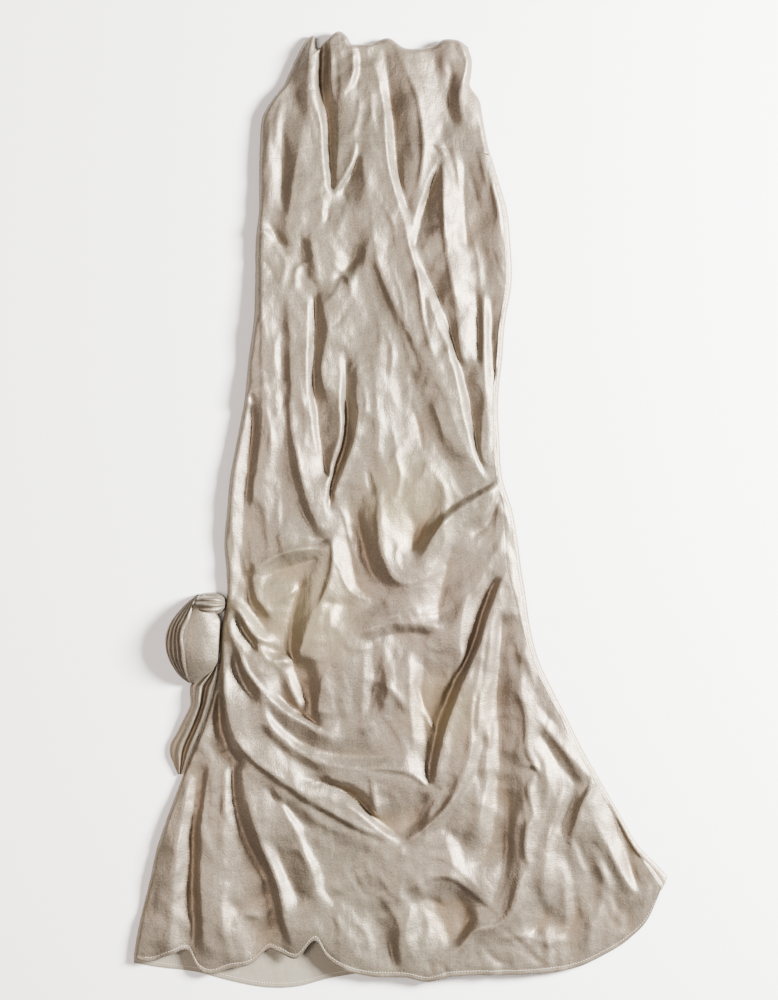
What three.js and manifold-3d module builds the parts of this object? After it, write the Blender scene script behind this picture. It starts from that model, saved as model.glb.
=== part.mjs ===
// A long satin halter dress laid out flat on its back.
// Millimetres. +Y runs to the neck, +X to the right seen from above, +Z up. The cloth rests on z = 0.
// The cloth's face is a field of heights stretched between the lines of its ridges and valleys,
// as satin tents itself between its folds. Each panel is a wall of even thickness under that face.
import * as THREE from "three";
import Module from "manifold-3d";

const wasm = await Module();
wasm.setup();

// Driving dimensions
const WALL = 2; // thickness of the cloth wall
const SEAM_GAP = 0.3; // clearance between pieces that are sewn together
const LEFT_ROLL = 9; // depth of the rounding where the front turns down at its left side
const RIGHT_ROLL = 7; // the same where the back rolls up round the right side
const LIP = 10; // depth of the rounding along the neck edge
const LIP_DROP = 0.45; // share of its height that the neck edge keeps
const BACK_SCOOP = 60; // how far the open back dips between the underarms
const CELL = 6; // grid of the height field
const BEND = 2; // step along a fold's line
const MARGIN = 24; // field kept round the dress
const REST = 12; // height that the field starts from
const RELAX_ROUNDS = 500; // times the field is relaxed between its folds
const RELAX_PULL = 1.9; // how far each point moves toward its neighbours, above 1 to settle sooner
const SOFTEN_ROUNDS = 2; // times the relaxed field is smoothed
const LOWEST_FACE = 4; // least height of the yoke's face, so that its wall stays off the surface

// Counts of faces across and down each piece
const FRONT_COLUMNS = 32;
const FRONT_ROWS = 52;
const YOKE_ROWS = 7;
const LIP_ROWS = [0, 0.15, 0.5, 1]; // rows within the rounded neck edge, as shares of its depth
const FLOOR_COLUMNS = 8;
const ROLL_STEPS = 5;
const STRIP_COLUMNS = 2;
const ROLL_COLUMNS = [0, 0.13, 0.45, 1]; // columns within a rolled edge, as shares of its depth

// Colours of the cloth
const SATIN = 0xd8ccb9;
const SATIN_INSIDE = 0xcdbfab;
const ROUGHNESS = 0.45;

// The two sides of the dress as it lies: y, the left and the right side, the height of the right edge
const SIDES = [
  { y: 716, left: -138, right: 99, edge: 12 },
  { y: 708, left: -140, right: 99, edge: 12 },
  { y: 696, left: -147, right: 101, edge: 12 },
  { y: 675, left: -158, right: 107, edge: 12 },
  { y: 652, left: -168, right: 106, edge: 12 },
  { y: 637, left: -175, right: 104, edge: 12 },
  { y: 615, left: -192, right: 118, edge: 13 },
  { y: 590, left: -207, right: 123, edge: 14 },
  { y: 547, left: -211, right: 131, edge: 14 },
  { y: 495, left: -212, right: 146, edge: 14 },
  { y: 450, left: -212, right: 159, edge: 14 },
  { y: 405, left: -217, right: 164, edge: 14 },
  { y: 337, left: -218, right: 166, edge: 14 },
  { y: 285, left: -220, right: 157, edge: 14 },
  { y: 225, left: -228, right: 152, edge: 14 },
  { y: 165, left: -234, right: 146, edge: 14 },
  { y: 105, left: -245, right: 148, edge: 14 },
  { y: 45, left: -256, right: 153, edge: 14 },
  { y: 0, left: -260, right: 167, edge: 14 },
  { y: -52, left: -264, right: 176, edge: 14 },
  { y: -90, left: -261, right: 181, edge: 14 },
  { y: -127, left: -260, right: 187, edge: 14 },
  { y: -180, left: -269, right: 195, edge: 14 },
  { y: -225, left: -271, right: 207, edge: 14 },
  { y: -270, left: -280, right: 228, edge: 13 },
  { y: -315, left: -293, right: 251, edge: 12 },
  { y: -352, left: -308, right: 269, edge: 12 },
  { y: -403, left: -328, right: 298, edge: 11 },
  { y: -457, left: -348, right: 329, edge: 10 },
  { y: -510, left: -366, right: 359, edge: 10 },
  { y: -547, left: -374, right: 388, edge: 10 },
  { y: -565, left: -378, right: 399, edge: 10 },
  { y: -622, left: -392, right: 399, edge: 10 },
  { y: -675, left: -400, right: 399, edge: 10 },
  { y: -716, left: -400, right: 399, edge: 10 },
];

// The neck edge from the left corner to the right one: share of the width, and y
const NECK = [
  { across: 0, y: 706 },
  { across: 0.04, y: 710 },
  { across: 0.08, y: 696 },
  { across: 0.105, y: 689 },
  { across: 0.14, y: 706 },
  { across: 0.19, y: 715.5 },
  { across: 0.25, y: 708 },
  { across: 0.3, y: 696 },
  { across: 0.4, y: 697 },
  { across: 0.51, y: 706 },
  { across: 0.62, y: 691 },
  { across: 0.78, y: 694 },
  { across: 0.86, y: 704 },
  { across: 0.94, y: 703 },
  { across: 1, y: 694 },
];

// The cross seam that joins the yoke to the long front: x and y
const CROSS_SEAM = [
  { x: -212, y: 522 },
  { x: -178, y: 526 },
  { x: -116, y: 545 },
  { x: -20, y: 548 },
  { x: 60, y: 541 },
  { x: 136, y: 530 },
];
const SEAM_LEVEL = 535; // where the widths at the cross seam are taken

// Width of the back that shows at the right, from the side seam round to the outline
const SIDE_STRIP = [
  { y: 540, width: 10 },
  { y: 60, width: 10 },
  { y: 20, width: 12 },
  { y: -90, width: 21 },
  { y: -157, width: 15 },
  { y: -220, width: 11 },
  { y: -310, width: 11 },
  { y: -700, width: 10 },
];

// Hem of the front, lifted in waves at the left: x and y
const FRONT_HEM = [
  { x: -400, y: -670 },
  { x: -376, y: -675 },
  { x: -345, y: -664 },
  { x: -318, y: -658 },
  { x: -300, y: -686 },
  { x: -284, y: -693 },
  { x: -256, y: -685 },
  { x: -214, y: -673 },
  { x: -198, y: -656 },
  { x: -181, y: -660 },
  { x: -151, y: -668 },
  { x: -127, y: -641 },
  { x: -108, y: -666 },
  { x: -76, y: -686 },
  { x: -38, y: -696 },
  { x: 14, y: -697 },
  { x: 46, y: -704 },
  { x: 76, y: -696 },
  { x: 224, y: -691 },
  { x: 269, y: -684 },
  { x: 314, y: -664 },
  { x: 352, y: -640 },
  { x: 382, y: -607 },
  { x: 399, y: -568 },
];

// Hem of the back, which shows below the lifted front at the left
const BACK_HEM = [
  { x: -400, y: -679 },
  { x: -361, y: -685 },
  { x: -301, y: -693 },
  { x: -263, y: -703 },
  { x: -193, y: -715.5 },
  { x: -151, y: -714 },
  { x: -106, y: -702 },
  { x: -40, y: -692 },
  { x: 150, y: -686 },
  { x: 262, y: -676 },
  { x: 345, y: -636 },
  { x: 378, y: -600 },
  { x: 399, y: -568 },
];

// Folds of the face: each runs through stations of x, y and the height of the cloth there
const FOLDS = [
  { name: "neck lobe, left", path: [[-137, 716, 16], [-137, 615, 20], [-124, 570, 13]] },
  { name: "neck valley, left", path: [[-117, 716, 5], [-118, 652, 5], [-106, 570, 5], [-101, 471, 9]] },
  { name: "neck lobe, tall", path: [[-91, 716, 20], [-80, 675, 26], [-76, 645, 24], [-86, 612, 18]] },
  { name: "leaf fold", path: [[-80, 575, 15], [-75, 530, 18], [-94, 477, 9]] },
  { name: "valley by the leaf", path: [[-64, 560, 7], [-61, 500, 6], [-60, 465, 9]] },
  { name: "long ridge from the neck", path: [[-48, 700, 14], [-37, 540, 22], [-11, 390, 24], [10, 290, 20]] },
  { name: "wide neck valley", path: [[-12, 700, 7], [7, 555, 5], [4, 465, 7]] },
  { name: "bright neck ridge", path: [[8, 705, 12], [29, 615, 20], [50, 535, 21], [40, 480, 14], [17, 442, 9]] },
  { name: "valley to the bust", path: [[62, 515, 6], [56, 465, 5], [40, 410, 6], [20, 378, 8]] },
  { name: "right neck valley", path: [[72, 700, 8], [77, 640, 6], [70, 560, 8]] },
  { name: "neck lobe, right", path: [[93, 716, 18], [95, 655, 15], [107, 600, 20], [110, 540, 16]] },
  { name: "ridge below the seam", path: [[77, 510, 19], [82, 420, 24], [92, 345, 23], [97, 290, 15]] },
  { name: "dark underarm valley", path: [[106, 500, 7], [117, 430, 6], [112, 380, 6]] },
  { name: "right bust roll", path: [[138, 480, 15], [150, 400, 17], [150, 330, 15]] },
  { name: "waist ridge at the right", path: [[126, 320, 13], [127, 240, 17], [125, 165, 12]] },
  { name: "bust crease, left", path: [[-143, 457, 16], [-151, 427, 19], [-172, 396, 12]] },
  { name: "hollow under the crease", path: [[-151, 408, 7], [-142, 360, 6], [-130, 330, 6]] },
  { name: "left waist valley", path: [[-128, 325, 7], [-122, 270, 5], [-126, 200, 5], [-119, 105, 6], [-111, 60, 9]] },
  { name: "left waist ridge", path: [[-152, 340, 15], [-148, 240, 20], [-150, 150, 18]] },
  { name: "left waist groove", path: [[-176, 276, 8], [-171, 195, 8], [-166, 110, 7]] },
  { name: "left hip crest", path: [[-156, 92, 17], [-148, 45, 20], [-127, -24, 16]] },
  { name: "left side ridge", path: [[-197, 480, 15], [-203, 315, 17], [-210, 165, 18], [-228, -20, 17]] },
  { name: "middle ridge", path: [[-85, 400, 16], [-90, 300, 20], [-98, 200, 19], [-101, 120, 16]] },
  { name: "golden valley", path: [[-76, 240, 9], [-76, 135, 5], [-84, 95, 5], [-104, 15, 5]] },
  { name: "belly ridge", path: [[-45, 240, 20], [-45, 165, 24], [-50, 90, 22], [-62, 45, 18]] },
  { name: "sharp diagonal ridge", path: [[19, 372, 15], [41, 315, 22], [83, 195, 26], [94, 120, 24], [130, 39, 12]] },
  { name: "valley right of the diagonal", path: [[104, 265, 7], [110, 195, 5], [107, 130, 6], [119, 82, 8]] },
  { name: "valley left of the diagonal", path: [[-12, 310, 12], [4, 250, 9], [33, 150, 6], [62, 68, 7]] },
  { name: "upper tuck", path: [[134, 35, 14], [104, 16, 22], [74, -5, 24], [44, -39, 22], [19, -62, 17]] },
  { name: "swag crest", path: [[-18, 15, 20], [-13, -30, 20], [-2, -65, 20], [20, -87, 22], [42, -68, 19]] },
  { name: "swag pocket", path: [[14, 15, 8], [18, -38, 7]] },
  { name: "broad hip valley", path: [[-72, 30, 5], [-76, -45, 5], [-66, -105, 5], [-38, -132, 8], [10, -138, 11]] },
  { name: "thigh crest", path: [[-78, -202, 20], [-38, -180, 20], [-16, -175, 22], [40, -178, 21]] },
  { name: "valley below the swag", path: [[77, -52, 8], [68, -85, 5], [59, -135, 5], [50, -175, 6], [36, -235, 5], [40, -345, 5]] },
  { name: "crest beside the tuck", path: [[96, -110, 19], [89, -180, 22], [88, -225, 16]] },
  { name: "lower tuck edge", path: [[149, -104, 15], [122, -180, 24], [94, -252, 25], [74, -310, 24], [48, -410, 19]] },
  { name: "gap under the tuck edge", path: [[138, -108, 7], [112, -172, 9], [84, -246, 7], [62, -306, 6], [40, -392, 6]] },
  { name: "lower tuck crest", path: [[130, -190, 24], [117, -260, 28], [104, -360, 28], [64, -448, 26], [2, -496, 22]] },
  { name: "valley right of the tuck", path: [[158, -140, 8], [162, -285, 5], [148, -375, 5], [138, -465, 5], [112, -528, 7]] },
  { name: "knee crest", path: [[178, -265, 17], [185, -345, 22], [190, -450, 22], [180, -530, 20], [150, -605, 14]] },
  { name: "first drape from the knot", path: [[-259, -137, 16], [-229, -168, 23], [-196, -197, 18]] },
  { name: "second drape from the knot", path: [[-266, -164, 14], [-226, -237, 25], [-166, -297, 26], [-95, -352, 18]] },
  { name: "groove between the drapes", path: [[-252, -225, 11], [-236, -260, 11], [-205, -293, 13]] },
  { name: "gathers at the knot", path: [[-268, -222, 16], [-254, -288, 19], [-196, -322, 20], [-112, -352, 18]] },
  { name: "groove above the drape edge", path: [[-235, -332, 14], [-173, -370, 13], [-100, -395, 10], [-20, -402, 8]] },
  { name: "lower edge of the drape", path: [[-265, -315, 18], [-240, -358, 24], [-158, -410, 26], [-68, -465, 26], [-4, -494, 22]] },
  { name: "foot of the drape edge", path: [[-262, -345, 7], [-236, -381, 7], [-155, -430, 6], [-68, -485, 6], [-20, -508, 8]] },
  { name: "hollow behind the flap", path: [[8, -430, 6], [26, -462, 6]] },
  { name: "thigh bulge", path: [[-83, -220, 23], [-76, -285, 26], [-72, -345, 20]] },
  { name: "brown triangle", path: [[-138, -238, 7], [-131, -300, 9]] },
  { name: "pocket crest down", path: [[-106, -44, 20], [-107, -90, 22], [-127, -142, 20], [-156, -228, 13]] },
  { name: "pocket arc", path: [[-221, -100, 16], [-196, -80, 20], [-151, -60, 21], [-112, -54, 20]] },
  { name: "golden pocket", path: [[-180, -122, 7], [-173, -180, 6], [-164, -232, 7]] },
  { name: "pocket facet", path: [[-218, -105, 16], [-204, -147, 18], [-190, -165, 13]] },
  { name: "left skirt ridge", path: [[-326, -430, 13], [-345, -500, 19], [-352, -585, 21], [-346, -680, 19]] },
  { name: "deep skirt valley", path: [[-297, -382, 8], [-307, -480, 5], [-309, -630, 5], [-306, -716, 5]] },
  { name: "second skirt ridge", path: [[-281, -390, 15], [-284, -480, 20], [-282, -585, 20], [-268, -716, 13]] },
  { name: "dent in the skirt", path: [[-250, -470, 8], [-238, -540, 8], [-218, -618, 7]] },
  { name: "third skirt ridge", path: [[-236, -395, 15], [-229, -457, 19], [-190, -558, 22], [-176, -630, 22], [-166, -716, 17]] },
  { name: "groove beside it", path: [[-196, -465, 9], [-168, -545, 8], [-142, -625, 9], [-138, -716, 10]] },
  { name: "fourth skirt ridge", path: [[-188, -420, 14], [-146, -510, 21], [-130, -562, 22], [-122, -640, 18]] },
  { name: "groove to the hem", path: [[-118, -560, 8], [-88, -595, 7], [-78, -650, 7]] },
  { name: "middle skirt ridge", path: [[-64, -510, 13], [-48, -590, 15], [-44, -716, 10]] },
  { name: "middle skirt groove", path: [[-8, -560, 7], [-12, -640, 6], [-8, -716, 6]] },
  { name: "knee fold", path: [[24, -507, 17], [59, -520, 18], [89, -543, 20], [119, -570, 18], [146, -600, 15]] },
  { name: "hollow under the knee fold", path: [[40, -575, 7], [80, -588, 6], [130, -622, 7]] },
  { name: "fold to the hem", path: [[155, -592, 14], [119, -617, 16], [97, -640, 15], [80, -680, 10]] },
  { name: "short hem pleat", path: [[46, -665, 9], [48, -716, 12]] },
  { name: "right hip groove", path: [[214, -325, 6], [247, -382, 6], [258, -430, 5], [258, -480, 7]] },
  { name: "diagonal side ridge", path: [[194, -285, 15], [239, -337, 17], [284, -392, 14]] },
  { name: "short side ridge", path: [[281, -405, 13], [264, -446, 16], [252, -484, 13]] },
  { name: "corner ridge", path: [[274, -435, 15], [299, -487, 19], [344, -562, 17], [356, -590, 12]] },
  { name: "brown corner band", path: [[318, -450, 8], [340, -500, 7], [366, -562, 8]] },
  { name: "hem fold, right", path: [[149, -622, 12], [187, -657, 13], [222, -688, 9]] },
  { name: "dent by the knee", path: [[208, -560, 7], [205, -640, 8]] },
  { name: "dent by the corner", path: [[254, -560, 7], [262, -640, 8]] },
  { name: "soft corner rise", path: [[228, -500, 14], [232, -620, 13]] },
];

// The pleated loop of the bow: y, its outer and its inner side, and the share of full height
const LOOP_SECTIONS = [
  { y: -126, outer: -304, inner: -288, rise: 0.55 },
  { y: -136, outer: -317, inner: -286, rise: 0.75 },
  { y: -150, outer: -331, inner: -280, rise: 0.9 },
  { y: -165, outer: -343, inner: -270, rise: 0.97 },
  { y: -180, outer: -350, inner: -270, rise: 1 },
  { y: -196, outer: -353, inner: -271, rise: 1 },
  { y: -212, outer: -351, inner: -272, rise: 0.96 },
  { y: -228, outer: -345, inner: -274, rise: 0.86 },
  { y: -241, outer: -337, inner: -283, rise: 0.7 },
  { y: -252, outer: -327, inner: -297, rise: 0.5 },
  { y: -259, outer: -317, inner: -305, rise: 0.3 },
];
const LOOP_BASE = 1.5; // lowest height of the loop's rim
const LOOP_PLEATS = 5; // pleats stacked along the outer side
const PLEAT_SHARE = 0.075; // width of a pleat, as a share of the loop
const PLEAT_STEP = 7.5; // height that each pleat adds
const PLEAT_SLOPE = 1.5; // rise across one pleat's flat
const PLEAT_WALL = 0.012; // share of the width taken by the step between two pleats

// Face of the loop inside its pleats: share of the width, and height
const LOOP_FACE = [
  { across: 0.5, height: 49 },
  { across: 0.7, height: 47 },
  { across: 0.88, height: 37 },
  { across: 1, height: 16 },
];

// The knot that wraps the neck of the loop
const KNOT = { x: -285, y: -140, across: 46, along: 35, height: 44, wraps: 4, groove: 0.07 };
const KNOT_RINGS = 6;
const KNOT_SEGMENTS = 30;
const KNOT_CLEARANCE = 0.5;

// The pointed tail of the bow: y, its outer and its inner side, and the height of its fold
const TAIL_SECTIONS = [
  { y: -259.4, outer: -315, inner: -280, fold: 21 },
  { y: -275, outer: -316, inner: -283, fold: 22 },
  { y: -289, outer: -315, inner: -287, fold: 21 },
  { y: -315, outer: -326, inner: -295, fold: 19 },
  { y: -333, outer: -335, inner: -302, fold: 17 },
  { y: -352, outer: -345, inner: -310, fold: 15 },
  { y: -364, outer: -346, inner: -315, fold: 13 },
  { y: -380, outer: -341, inner: -321, fold: 10 },
  { y: -396, outer: -334, inner: -328, fold: 7 },
];
// Height across the tail: share of its width, and share of the fold's height
const TAIL_PROFILE = [
  { across: 0, share: 0 },
  { across: 0.05, share: 0.5 },
  { across: 0.16, share: 0.85 },
  { across: 0.3, share: 1 },
  { across: 0.48, share: 0.75 },
  { across: 0.66, share: 0.3 },
  { across: 0.82, share: 0.25 },
  { across: 1, share: 0.6 },
];

const lerp = THREE.MathUtils.lerp;
const clamp = THREE.MathUtils.clamp;

// Smooth reading of one column of a table against another
function reader(rows, key, column) {
  const ordered = [...rows].sort((a, b) => a[key] - b[key]);
  const slope = (i) => {
    const a = ordered[Math.max(0, i - 1)];
    const b = ordered[Math.min(ordered.length - 1, i + 1)];
    return (b[column] - a[column]) / (b[key] - a[key]);
  };
  return (value) => {
    const at = clamp(value, ordered[0][key], ordered.at(-1)[key]);
    let i = 0;
    while (i < ordered.length - 2 && at > ordered[i + 1][key]) i += 1;
    const a = ordered[i];
    const b = ordered[i + 1];
    const span = b[key] - a[key];
    const t = (at - a[key]) / span;
    const chord = b[column] - a[column];
    const into = clamp(slope(i) * span, -Math.abs(3 * chord), Math.abs(3 * chord));
    const out = clamp(slope(i + 1) * span, -Math.abs(3 * chord), Math.abs(3 * chord));
    const bend = into * t * (1 - t) ** 2 - out * t * t * (1 - t);
    return a[column] + chord * t * t * (3 - 2 * t) + bend;
  };
}

const leftSide = reader(SIDES, "y", "left");
const rightSide = reader(SIDES, "y", "right");
const rightEdge = reader(SIDES, "y", "edge");
const neckLine = reader(NECK, "across", "y");
const crossSeam = reader(CROSS_SEAM, "x", "y");
const sideStrip = reader(SIDE_STRIP, "y", "width");
const frontHem = reader(FRONT_HEM, "x", "y");
const backHem = reader(BACK_HEM, "x", "y");
const sideSeam = (y) => rightSide(y) - sideStrip(y);

// Height of the cloth's face, relaxed between the lines of its folds
class Face {
  constructor(folds) {
    this.x0 = leftSide(SIDES.at(-1).y) - MARGIN;
    this.y0 = SIDES.at(-1).y - MARGIN;
    this.nx = Math.ceil((rightSide(SIDES.at(-1).y) + MARGIN - this.x0) / CELL);
    this.ny = Math.ceil((SIDES[0].y + MARGIN - this.y0) / CELL);
    this.z = new Float64Array(this.nx * this.ny).fill(REST);
    this.held = new Uint8Array(this.nx * this.ny);
    this.holdSides();
    folds.forEach((fold) => this.holdLine(fold.path));
    this.relax();
    this.soften();
  }

  hold(x, y, z) {
    const i = Math.round((x - this.x0) / CELL);
    const j = Math.round((y - this.y0) / CELL);
    if (i < 0 || j < 0 || i >= this.nx || j >= this.ny) return;
    this.z[j * this.nx + i] = z;
    this.held[j * this.nx + i] = 1;
  }

  holdSides() {
    for (let j = 0; j < this.ny; j += 1) {
      const y = this.y0 + j * CELL;
      for (let i = 0; i < this.nx; i += 1) {
        const x = this.x0 + i * CELL;
        const outside = x <= leftSide(y) + LEFT_ROLL || x >= rightSide(y) - RIGHT_ROLL;
        if (outside) this.hold(x, y, rightEdge(y));
      }
    }
  }

  holdLine(path) {
    const curve = new THREE.CatmullRomCurve3(path.map((p) => new THREE.Vector3(...p)));
    const steps = Math.ceil(curve.getLength() / BEND);
    for (const p of curve.getSpacedPoints(steps)) this.hold(p.x, p.y, p.z);
  }

  neighbours(i, j) {
    const row = j * this.nx;
    const w = this.z[row + Math.max(0, i - 1)];
    const e = this.z[row + Math.min(this.nx - 1, i + 1)];
    const s = this.z[Math.max(0, j - 1) * this.nx + i];
    const n = this.z[Math.min(this.ny - 1, j + 1) * this.nx + i];
    return (w + e + s + n) / 4;
  }

  relax() {
    for (let k = 0; k < RELAX_ROUNDS; k += 1)
      for (let j = 0; j < this.ny; j += 1)
        for (let i = 0; i < this.nx; i += 1) {
          const at = j * this.nx + i;
          if (!this.held[at]) this.z[at] += RELAX_PULL * (this.neighbours(i, j) - this.z[at]);
        }
  }

  soften() {
    for (let k = 0; k < SOFTEN_ROUNDS; k += 1) {
      const next = this.z.slice();
      for (let j = 0; j < this.ny; j += 1)
        for (let i = 0; i < this.nx; i += 1)
          next[j * this.nx + i] = lerp(this.z[j * this.nx + i], this.neighbours(i, j), 0.5);
      this.z = next;
    }
  }

  height(x, y) {
    const fx = clamp((x - this.x0) / CELL, 0, this.nx - 1.001);
    const fy = clamp((y - this.y0) / CELL, 0, this.ny - 1.001);
    const i = Math.floor(fx);
    const j = Math.floor(fy);
    const at = j * this.nx + i;
    const low = lerp(this.z[at], this.z[at + 1], fx - i);
    const high = lerp(this.z[at + this.nx], this.z[at + this.nx + 1], fx - i);
    return lerp(low, high, fy - j);
  }
}

const face = new Face(FOLDS);

// Share of full height at a distance inside a rounded edge
const round = (distance, depth) => Math.sqrt(1 - (1 - clamp(distance / depth, 0, 1)) ** 2);

// A closed body from a grid of outer points and a rule for the point behind each
function closedBody(outer, behind) {
  const rows = outer.length;
  const columns = outer[0].length;
  const inner = outer.map((row, i) => row.map((p, j) => behind(p, i, j)));
  const points = [...outer.flat(), ...inner.flat()];
  const under = rows * columns;
  const at = (i, j) => i * columns + j;
  const index = [];
  for (let i = 0; i < rows - 1; i += 1)
    for (let j = 0; j < columns - 1; j += 1) {
      const [a, b, c, d] = [at(i, j), at(i, j + 1), at(i + 1, j), at(i + 1, j + 1)];
      const fall = points[a].distanceTo(points[d]) < points[b].distanceTo(points[c]);
      const faces = fall ? [[a, c, d], [a, d, b]] : [[a, c, b], [b, c, d]];
      for (const [p, q, r] of faces) {
        index.push(p, q, r);
        index.push(p + under, r + under, q + under);
      }
    }
  const border = [];
  for (let i = 0; i < rows - 1; i += 1) border.push(at(i, 0));
  for (let j = 0; j < columns - 1; j += 1) border.push(at(rows - 1, j));
  for (let i = rows - 1; i > 0; i -= 1) border.push(at(i, columns - 1));
  for (let j = columns - 1; j > 0; j -= 1) border.push(at(0, j));
  border.forEach((p, k) => {
    const q = border[(k + 1) % border.length];
    index.push(q, p, p + under);
    index.push(q, p + under, q + under);
  });
  const geometry = new THREE.BufferGeometry().setFromPoints(points);
  geometry.setIndex(index);
  return geometry;
}

// The cloth's normal at a grid point, from its neighbours
function normalAt(grid, i, j) {
  const down = grid[Math.min(grid.length - 1, i + 1)][j].clone().sub(grid[Math.max(0, i - 1)][j]);
  const across = grid[i][Math.min(grid[0].length - 1, j + 1)].clone().sub(grid[i][Math.max(0, j - 1)]);
  return down.cross(across).normalize();
}

// A wall of the cloth's thickness behind a grid of points on its face
function clothWall(grid, normal = normalAt) {
  return closedBody(grid, (p, i, j) => p.clone().addScaledVector(normal(grid, i, j), -WALL));
}

// Distances across a panel: close together in a rolled edge, even between
function columnsAcross(width, leftRoll, rightRoll, count) {
  const left = leftRoll > 0 ? ROLL_COLUMNS.map((s) => s * leftRoll) : [0];
  const right = rightRoll > 0 ? ROLL_COLUMNS.map((s) => width - s * rightRoll).reverse() : [width];
  const between = count - left.length - right.length + 1;
  const start = left.at(-1);
  const middle = [];
  for (let k = 1; k <= between; k += 1)
    middle.push(lerp(start, right[0], k / (between + 1)));
  return [...left, ...middle, ...right];
}

// The front yoke, from the neck edge to the cross seam, rolled down to the surface at both sides
function frontYoke() {
  const grid = [];
  const columns = (width) => columnsAcross(width, LEFT_ROLL, LEFT_ROLL, FRONT_COLUMNS);
  const [left, right] = [leftSide(SEAM_LEVEL), rightSide(SEAM_LEVEL)];
  const seamLine = columns(right - left).map((d) => crossSeam(left + d) + SEAM_GAP / 2);
  const neckWidth = rightSide(NECK[0].y) - leftSide(NECK[0].y);
  const top = columns(neckWidth).map((d) => neckLine(d / neckWidth));
  for (let i = 0; i < YOKE_ROWS + LIP_ROWS.length; i += 1)
    grid.push(
      top.map((neckY, j) => {
        const below = (i - LIP_ROWS.length + 1) / YOKE_ROWS;
        const y = below < 0 ? neckY - LIP_ROWS[i] * LIP : lerp(neckY - LIP, seamLine[j], below);
        const width = rightSide(y) - leftSide(y);
        const d = columns(width)[j];
        const lip = lerp(LIP_DROP, 1, round(neckY - y, LIP));
        const side = round(Math.min(d, width - d), LEFT_ROLL);
        const x = leftSide(y) + d;
        const z = Math.max(face.height(x, y), LOWEST_FACE) * lip * side;
        return new THREE.Vector3(x, y, z);
      }),
    );
  return clothWall(grid, yokeNormal);
}

// The yoke stands upright on both sides, and meets the cross seam square
function yokeNormal(grid, i, j) {
  const n = normalAt(grid, i, j);
  if (i === grid.length - 1) n.setY(0).normalize();
  if (j === 0) n.set(-1, 0, 0);
  if (j === grid[0].length - 1) n.set(1, 0, 0);
  return n;
}

// The front stands upright on its rolled side, and meets both seams square
function frontNormal(grid, i, j) {
  const n = normalAt(grid, i, j);
  if (i === 0) n.setY(0).normalize();
  if (j === 0) n.set(-1, 0, 0);
  if (j === grid[0].length - 1) n.set(0, 0, 1);
  return n;
}

// The long front, from the cross seam to the hem and from the left side to the side seam
function frontPanel() {
  const grid = [];
  const foot = WALL + SEAM_GAP;
  const columns = (width) => columnsAcross(width, LEFT_ROLL, 0, FRONT_COLUMNS);
  const left = leftSide(SEAM_LEVEL);
  const seamWidth = sideSeam(SEAM_LEVEL) - left;
  const seamLine = columns(seamWidth).map((d) => crossSeam(left + d) - SEAM_GAP / 2);
  const [hemLeft, hemRight] = [FRONT_HEM[0].x, FRONT_HEM.at(-1).x];
  const hem = columns(hemRight - hemLeft).map((d) => frontHem(hemLeft + d));
  for (let i = 0; i <= FRONT_ROWS; i += 1)
    grid.push(
      hem.map((hemY, j) => {
        const y = lerp(seamLine[j], hemY, i / FRONT_ROWS);
        const d = columns(sideSeam(y) - leftSide(y))[j];
        const x = leftSide(y) + d;
        return new THREE.Vector3(x, y, lerp(foot, face.height(x, y), round(d, LEFT_ROLL)));
      }),
    );
  return clothWall(grid, frontNormal);
}

// One section of the back: from the side seam to the right side, round it, and along the surface
function backSection(down) {
  const top = crossSeam(rightSide(SEAM_LEVEL)) - SEAM_GAP / 2;
  const sideY = lerp(top, frontHem(FRONT_HEM.at(-1).x), down);
  const rollX = rightSide(sideY) - RIGHT_ROLL;
  const seamX = sideSeam(sideY) + SEAM_GAP;
  const section = [];
  for (let k = 0; k < STRIP_COLUMNS; k += 1) {
    const x = lerp(seamX, rollX, k / STRIP_COLUMNS);
    section.push({ x, y: sideY, z: face.height(x, sideY), turn: 0 });
  }
  for (let k = 0; k <= ROLL_STEPS; k += 1) {
    const turn = (Math.PI * k) / ROLL_STEPS;
    const z = (rightEdge(sideY) / 2) * (1 + Math.cos(turn));
    section.push({ x: rollX + RIGHT_ROLL * Math.sin(turn), y: sideY, z, turn });
  }
  for (let k = 1; k <= FLOOR_COLUMNS; k += 1) {
    const across = 1 - k / FLOOR_COLUMNS;
    const hemX = lerp(BACK_HEM[0].x, BACK_HEM.at(-1).x, across);
    const scoop = 4 * across * (1 - across) * BACK_SCOOP * (1 - down);
    const topX = lerp(leftSide(SEAM_LEVEL), rightSide(SEAM_LEVEL), across);
    const y = lerp(crossSeam(topX) - SEAM_GAP / 2, backHem(hemX), down) - scoop;
    section.push({ x: lerp(leftSide(y), rollX, across), y, z: 0, turn: Math.PI });
  }
  return section;
}

// The back panel: its sections from the cross seam to the hem
function backPanel() {
  const sections = [];
  for (let i = 0; i <= FRONT_ROWS; i += 1) sections.push(backSection(i / FRONT_ROWS));
  const grid = sections.map((row) => row.map(({ x, y, z }) => new THREE.Vector3(x, y, z)));
  const outward = ({ turn }) => new THREE.Vector3(Math.sin(turn), 0, Math.cos(turn));
  return clothWall(grid, (points, i, j) => outward(sections[i][j]));
}

// Height across the pleated loop: steps at the outer side, then a crown, then down to the inner side
function loopProfile() {
  const profile = [{ across: 0, height: LOOP_BASE }];
  for (let k = 0; k < LOOP_PLEATS; k += 1) {
    const top = (k + 1) * PLEAT_STEP;
    profile.push({ across: k * PLEAT_SHARE + PLEAT_WALL, height: top });
    profile.push({ across: (k + 1) * PLEAT_SHARE, height: top + PLEAT_SLOPE });
  }
  return [...profile, ...LOOP_FACE];
}

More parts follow.
